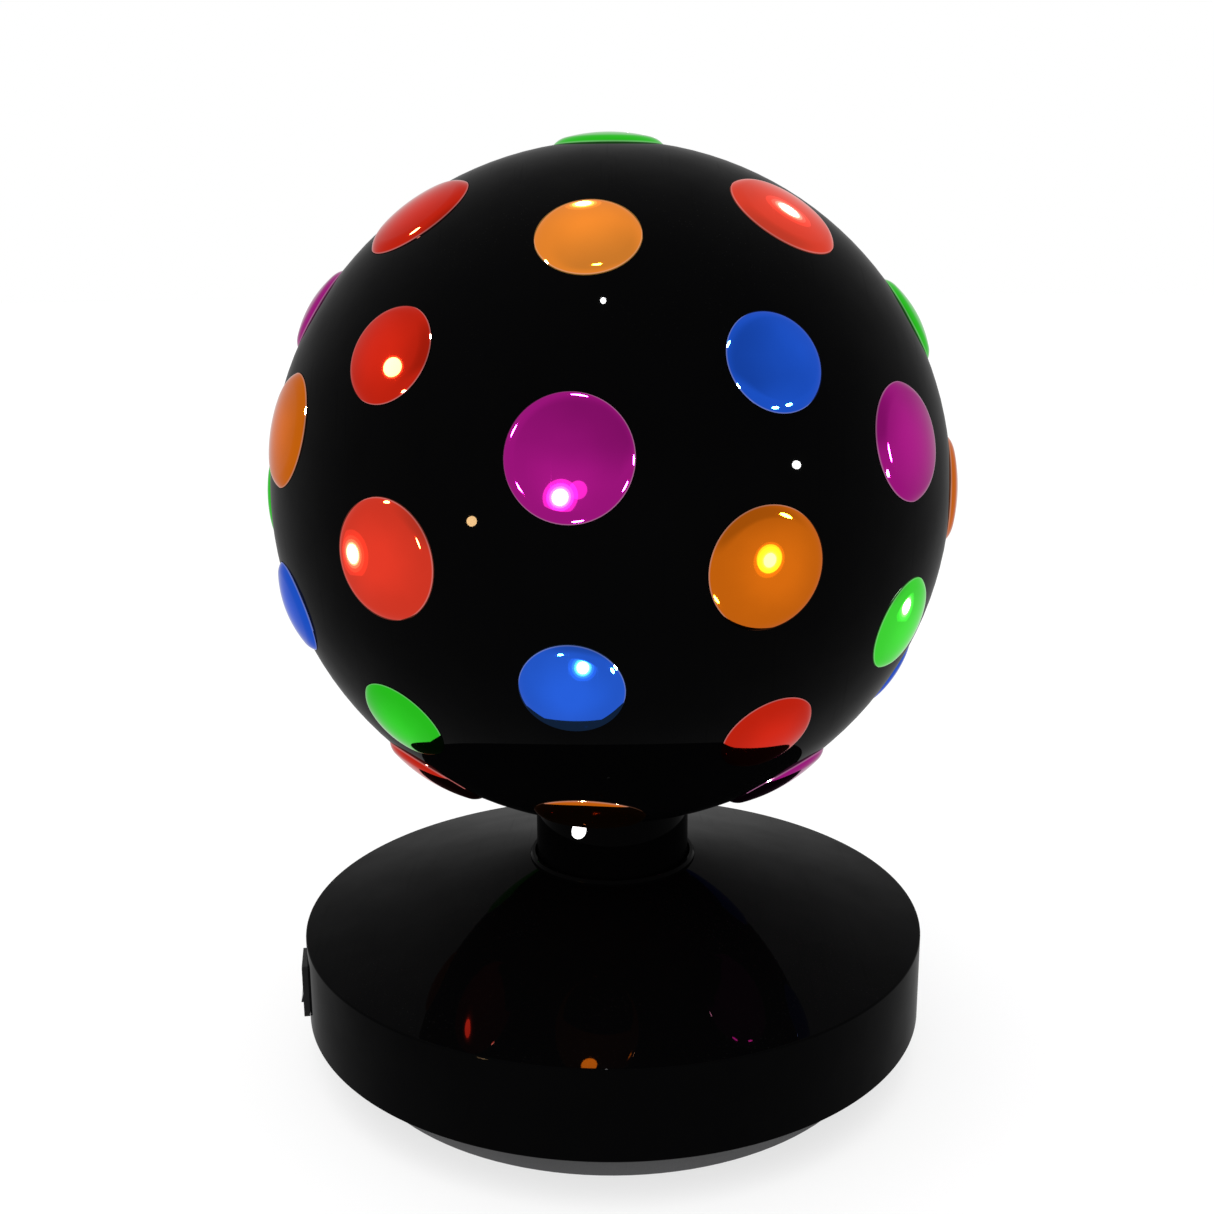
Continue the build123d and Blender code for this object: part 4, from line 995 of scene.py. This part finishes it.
# Each spot is like a lamp, repeated by the fall-off's rows of spread and share of radiance.
SPOTS = (
    (43.0, -9.6, 0.5, 0.058, 0.06, 130, YELLOW, "domes_large_amber"),
    (-15.5, -2.8, 0.6, 0.06, 0.066, 600, WHITE, "domes_large_magenta"),
    (-171.0, 56.2, 1.0, 0.05, 0.07, 130, WHITE, "domes_small_amber"),
    (138.0, 42.2, 1.0, 0.05, 0.07, 130, WHITE, "domes_large_red"),
    (-88.5, -11.8, 0.5, 0.06, 0.09, 130, WHITE, "domes_large_red"),
    (-2.6, -24.5, 0.3, 0.06, 0.07, 130, WHITE, "domes_small_blue"),
    (92.0, -17.7, 0.4, 0.06, 0.08, 130, WHITE, "domes_small_green"),
)
FALL_OFF = ((1.0, 1.0), (1.2, 0.15), (1.5, 0.04), (1.9, 0.01), (2.5, 0.003))


def set_camera(scene, values):
    """The camera, which looks down a little and is rolled about its line of sight."""
    data = bpy.data.cameras.new("view camera")
    data.sensor_width = 36.0
    data.lens = values.focal_length
    data.clip_start, data.clip_end = 0.01, 20.0
    camera = into_scene("view_camera", data)
    camera.location = (values.camera_side, -values.camera_distance, values.camera_height)
    aim = Euler((pi / 2 - values.camera_pitch, 0, 0)).to_matrix()
    camera.rotation_euler = (aim @ Matrix.Rotation(-values.camera_roll, 3, "Z")).to_euler()
    scene.camera = camera
    scene.view_settings.view_transform = "Standard"


def lay_floor(values):
    """A plain pale disc: rings of growing radius on the plane z = 0, clear from below."""
    points = np.array([(radius, 0.0) for radius in (9.0, 3.0, 1.0, 0.3, 0.0)])
    normals = np.tile([0.0, 1.0], (len(points), 1))
    corners, faces, _ = turned_arrays(points, normals, even_angles(96))
    floor = into_scene("floor", mesh_of("floor", corners, faces))
    material, tree, shader = start_material("pale_floor", {
        "Base Color": (values.floor_share,) * 3, "Roughness": 1.0,
        "Specular IOR Level": 0.0, "Emission Color": WHITE,
        "Emission Strength": values.floor_glow})
    even = add_node(tree, "ShaderNodeEmission", {"Color": WHITE, "Strength": values.sky})
    seen = add_node(tree, "ShaderNodeLightPath").outputs["Is Camera Ray"]
    below = add_node(tree, "ShaderNodeNewGeometry").outputs["Backfacing"]
    clear = add_node(tree, "ShaderNodeBsdfTransparent")
    either = add_node(tree, "ShaderNodeMixShader", {0: seen, 1: even.outputs[0],
                                                    2: shader.outputs["BSDF"]})
    sided = add_node(tree, "ShaderNodeMixShader", {0: below, 1: either.outputs[0],
                                                   2: clear.outputs[0]})
    output = next(each for each in tree.nodes if each.type == "OUTPUT_MATERIAL")
    give(tree, output.inputs, {"Surface": sided.outputs[0]})
    floor.data.materials.append(material)
    floor.visible_shadow = False


def set_sky(scene, values):
    """A white backdrop for the camera and a soft light for everything else.

    The soft light is dimmer in a patch above the camera and to its right.
    """
    world = bpy.data.worlds.new("soft_sky")
    scene.world = world
    world.use_nodes = True
    tree = world.node_tree
    tree.nodes.clear()
    way = add_node(tree, "ShaderNodeTexCoord").outputs["Generated"]
    patch = direction(values.patch_azimuth, values.patch_rise)
    facing = add_node(tree, "ShaderNodeVectorMath", {0: way, 1: patch},
                      operation="DOT_PRODUCT")
    above = add_node(tree, "ShaderNodeSeparateXYZ", {0: way})
    lifted = ranged(tree, above.outputs["Z"], 0.0, 0.45, kind="SMOOTHSTEP")
    near = ranged(tree, facing.outputs["Value"], 0.2, 0.9, 0.0, lifted, kind="SMOOTHSTEP")
    soft = ranged(tree, near, 0.0, 1.0, values.sky, values.sky * values.patch_share)
    seen = add_node(tree, "ShaderNodeLightPath").outputs["Is Camera Ray"]
    strength = ranged(tree, seen, 0.0, 1.0, soft, 1.0)
    light = add_node(tree, "ShaderNodeBackground", {"Color": WHITE, "Strength": strength})
    add_node(tree, "ShaderNodeOutputWorld", {"Surface": light.outputs["Background"]})


def hang_lamps(values):
    """A broad soft light above, and elliptic lamps that only glint in the polish.

    A lamp at distance d with half widths p and q, as shares of d, is an ellipse of
    area pi p q d^2 whose length lies round the camera's line of sight; an area A that
    gives off P watts has radiance P / (pi A).
    """
    data = bpy.data.lights.new("overhead", "SUN")
    data.angle = radians(100)
    data.energy = values.key * pi
    lamp = into_scene("overhead", data)
    lamp.rotation_euler = (radians(12), radians(-6), 0)
    lamp.visible_glossy = False
    sight = Vector(direction(0, values.camera_pitch))
    rows = [*LAMPS, *((*lamp, GLINT_RADIANCE, CREAM, start)
                      for start, group in GLINTS.items() for lamp in group)]
    for azimuth, rise, distance, along, across, radiance, colour, start in SPOTS:
        rows += [(azimuth, rise, distance * (0.97 + 0.03 * spread), along * spread,
                  across * spread, radiance * fade, colour, start)
                 for spread, fade in FALL_OFF]
    for number, row in enumerate(rows):
        azimuth, rise, distance, along, across, radiance, colour, start = row
        way = Vector(direction(radians(azimuth), radians(rise)))
        side = sight.cross(way).normalized()
        data = bpy.data.lights.new(f"lamp_{number}", "AREA")
        data.shape = "ELLIPSE"
        data.size, data.size_y = 2 * along * distance, 2 * across * distance
        data.energy = radiance * pi * pi * along * across * distance**2
        data.color = colour
        lamp = into_scene(f"lamp_{number}", data)
        lamp.rotation_euler = Matrix((side, way.cross(side), way)).transposed().to_euler()
        lamp.location = Vector((0, 0, BALL_HEIGHT)) + way * distance
        lamp.visible_diffuse = lamp.visible_camera = False
        receivers = bpy.data.collections.new(f"receivers_{number}")
        for piece in bpy.data.objects:
            if piece.name.startswith(start):
                receivers.objects.link(piece)
        lamp.light_linking.receiver_collection = receivers


class DISCO_OT_stage(bpy.types.Operator):
    """Sets the camera, the pale floor, the soft light and the lamps that glint."""

    bl_idname = "disco.stage"
    bl_label = "Stage"

    def execute(self, context):
        values = context.scene.disco_stage
        set_camera(context.scene, values)
        lay_floor(values)
        set_sky(context.scene, values)
        hang_lamps(values)
        return {"FINISHED"}


class DISCO_PT_sidebar(bpy.types.Panel):
    """Lists the light's operators and the sizes that they read."""

    bl_idname = "DISCO_PT_sidebar"
    bl_label = "Disco light"
    bl_space_type = "VIEW_3D"
    bl_region_type = "UI"
    bl_category = "Disco light"

    def draw(self, context):
        for operator in OPERATORS:
            self.layout.operator(operator.bl_idname)
        for group, held in PROPERTY_GROUPS.items():
            box = self.layout.box()
            for key in group.__annotations__:
                box.prop(getattr(context.scene, held), key)


PROPERTY_GROUPS = {LensSizes: "disco_lens", BaseSizes: "disco_base",
                   FinishColours: "disco_finish", StageValues: "disco_stage"}
OPERATORS = (DISCO_OT_shells, DISCO_OT_lenses, DISCO_OT_neck, DISCO_OT_cover, DISCO_OT_foot,
             DISCO_OT_switch, DISCO_OT_inlet, DISCO_OT_inner_parts, DISCO_OT_stage)


def register():
    for group, held in PROPERTY_GROUPS.items():
        bpy.utils.register_class(group)
        setattr(bpy.types.Scene, held, PointerProperty(type=group))
    for made in (*OPERATORS, DISCO_PT_sidebar):
        bpy.utils.register_class(made)


def unregister():
    for made in (DISCO_PT_sidebar, *reversed(OPERATORS)):
        bpy.utils.unregister_class(made)
    for group, held in reversed(PROPERTY_GROUPS.items()):
        delattr(bpy.types.Scene, held)
        bpy.utils.unregister_class(group)


def main():
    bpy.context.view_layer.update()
    register()
    for operator in OPERATORS:
        folder, name = operator.bl_idname.split(".")
        getattr(getattr(bpy.ops, folder), name)()


if __name__ == "__main__":
    main()
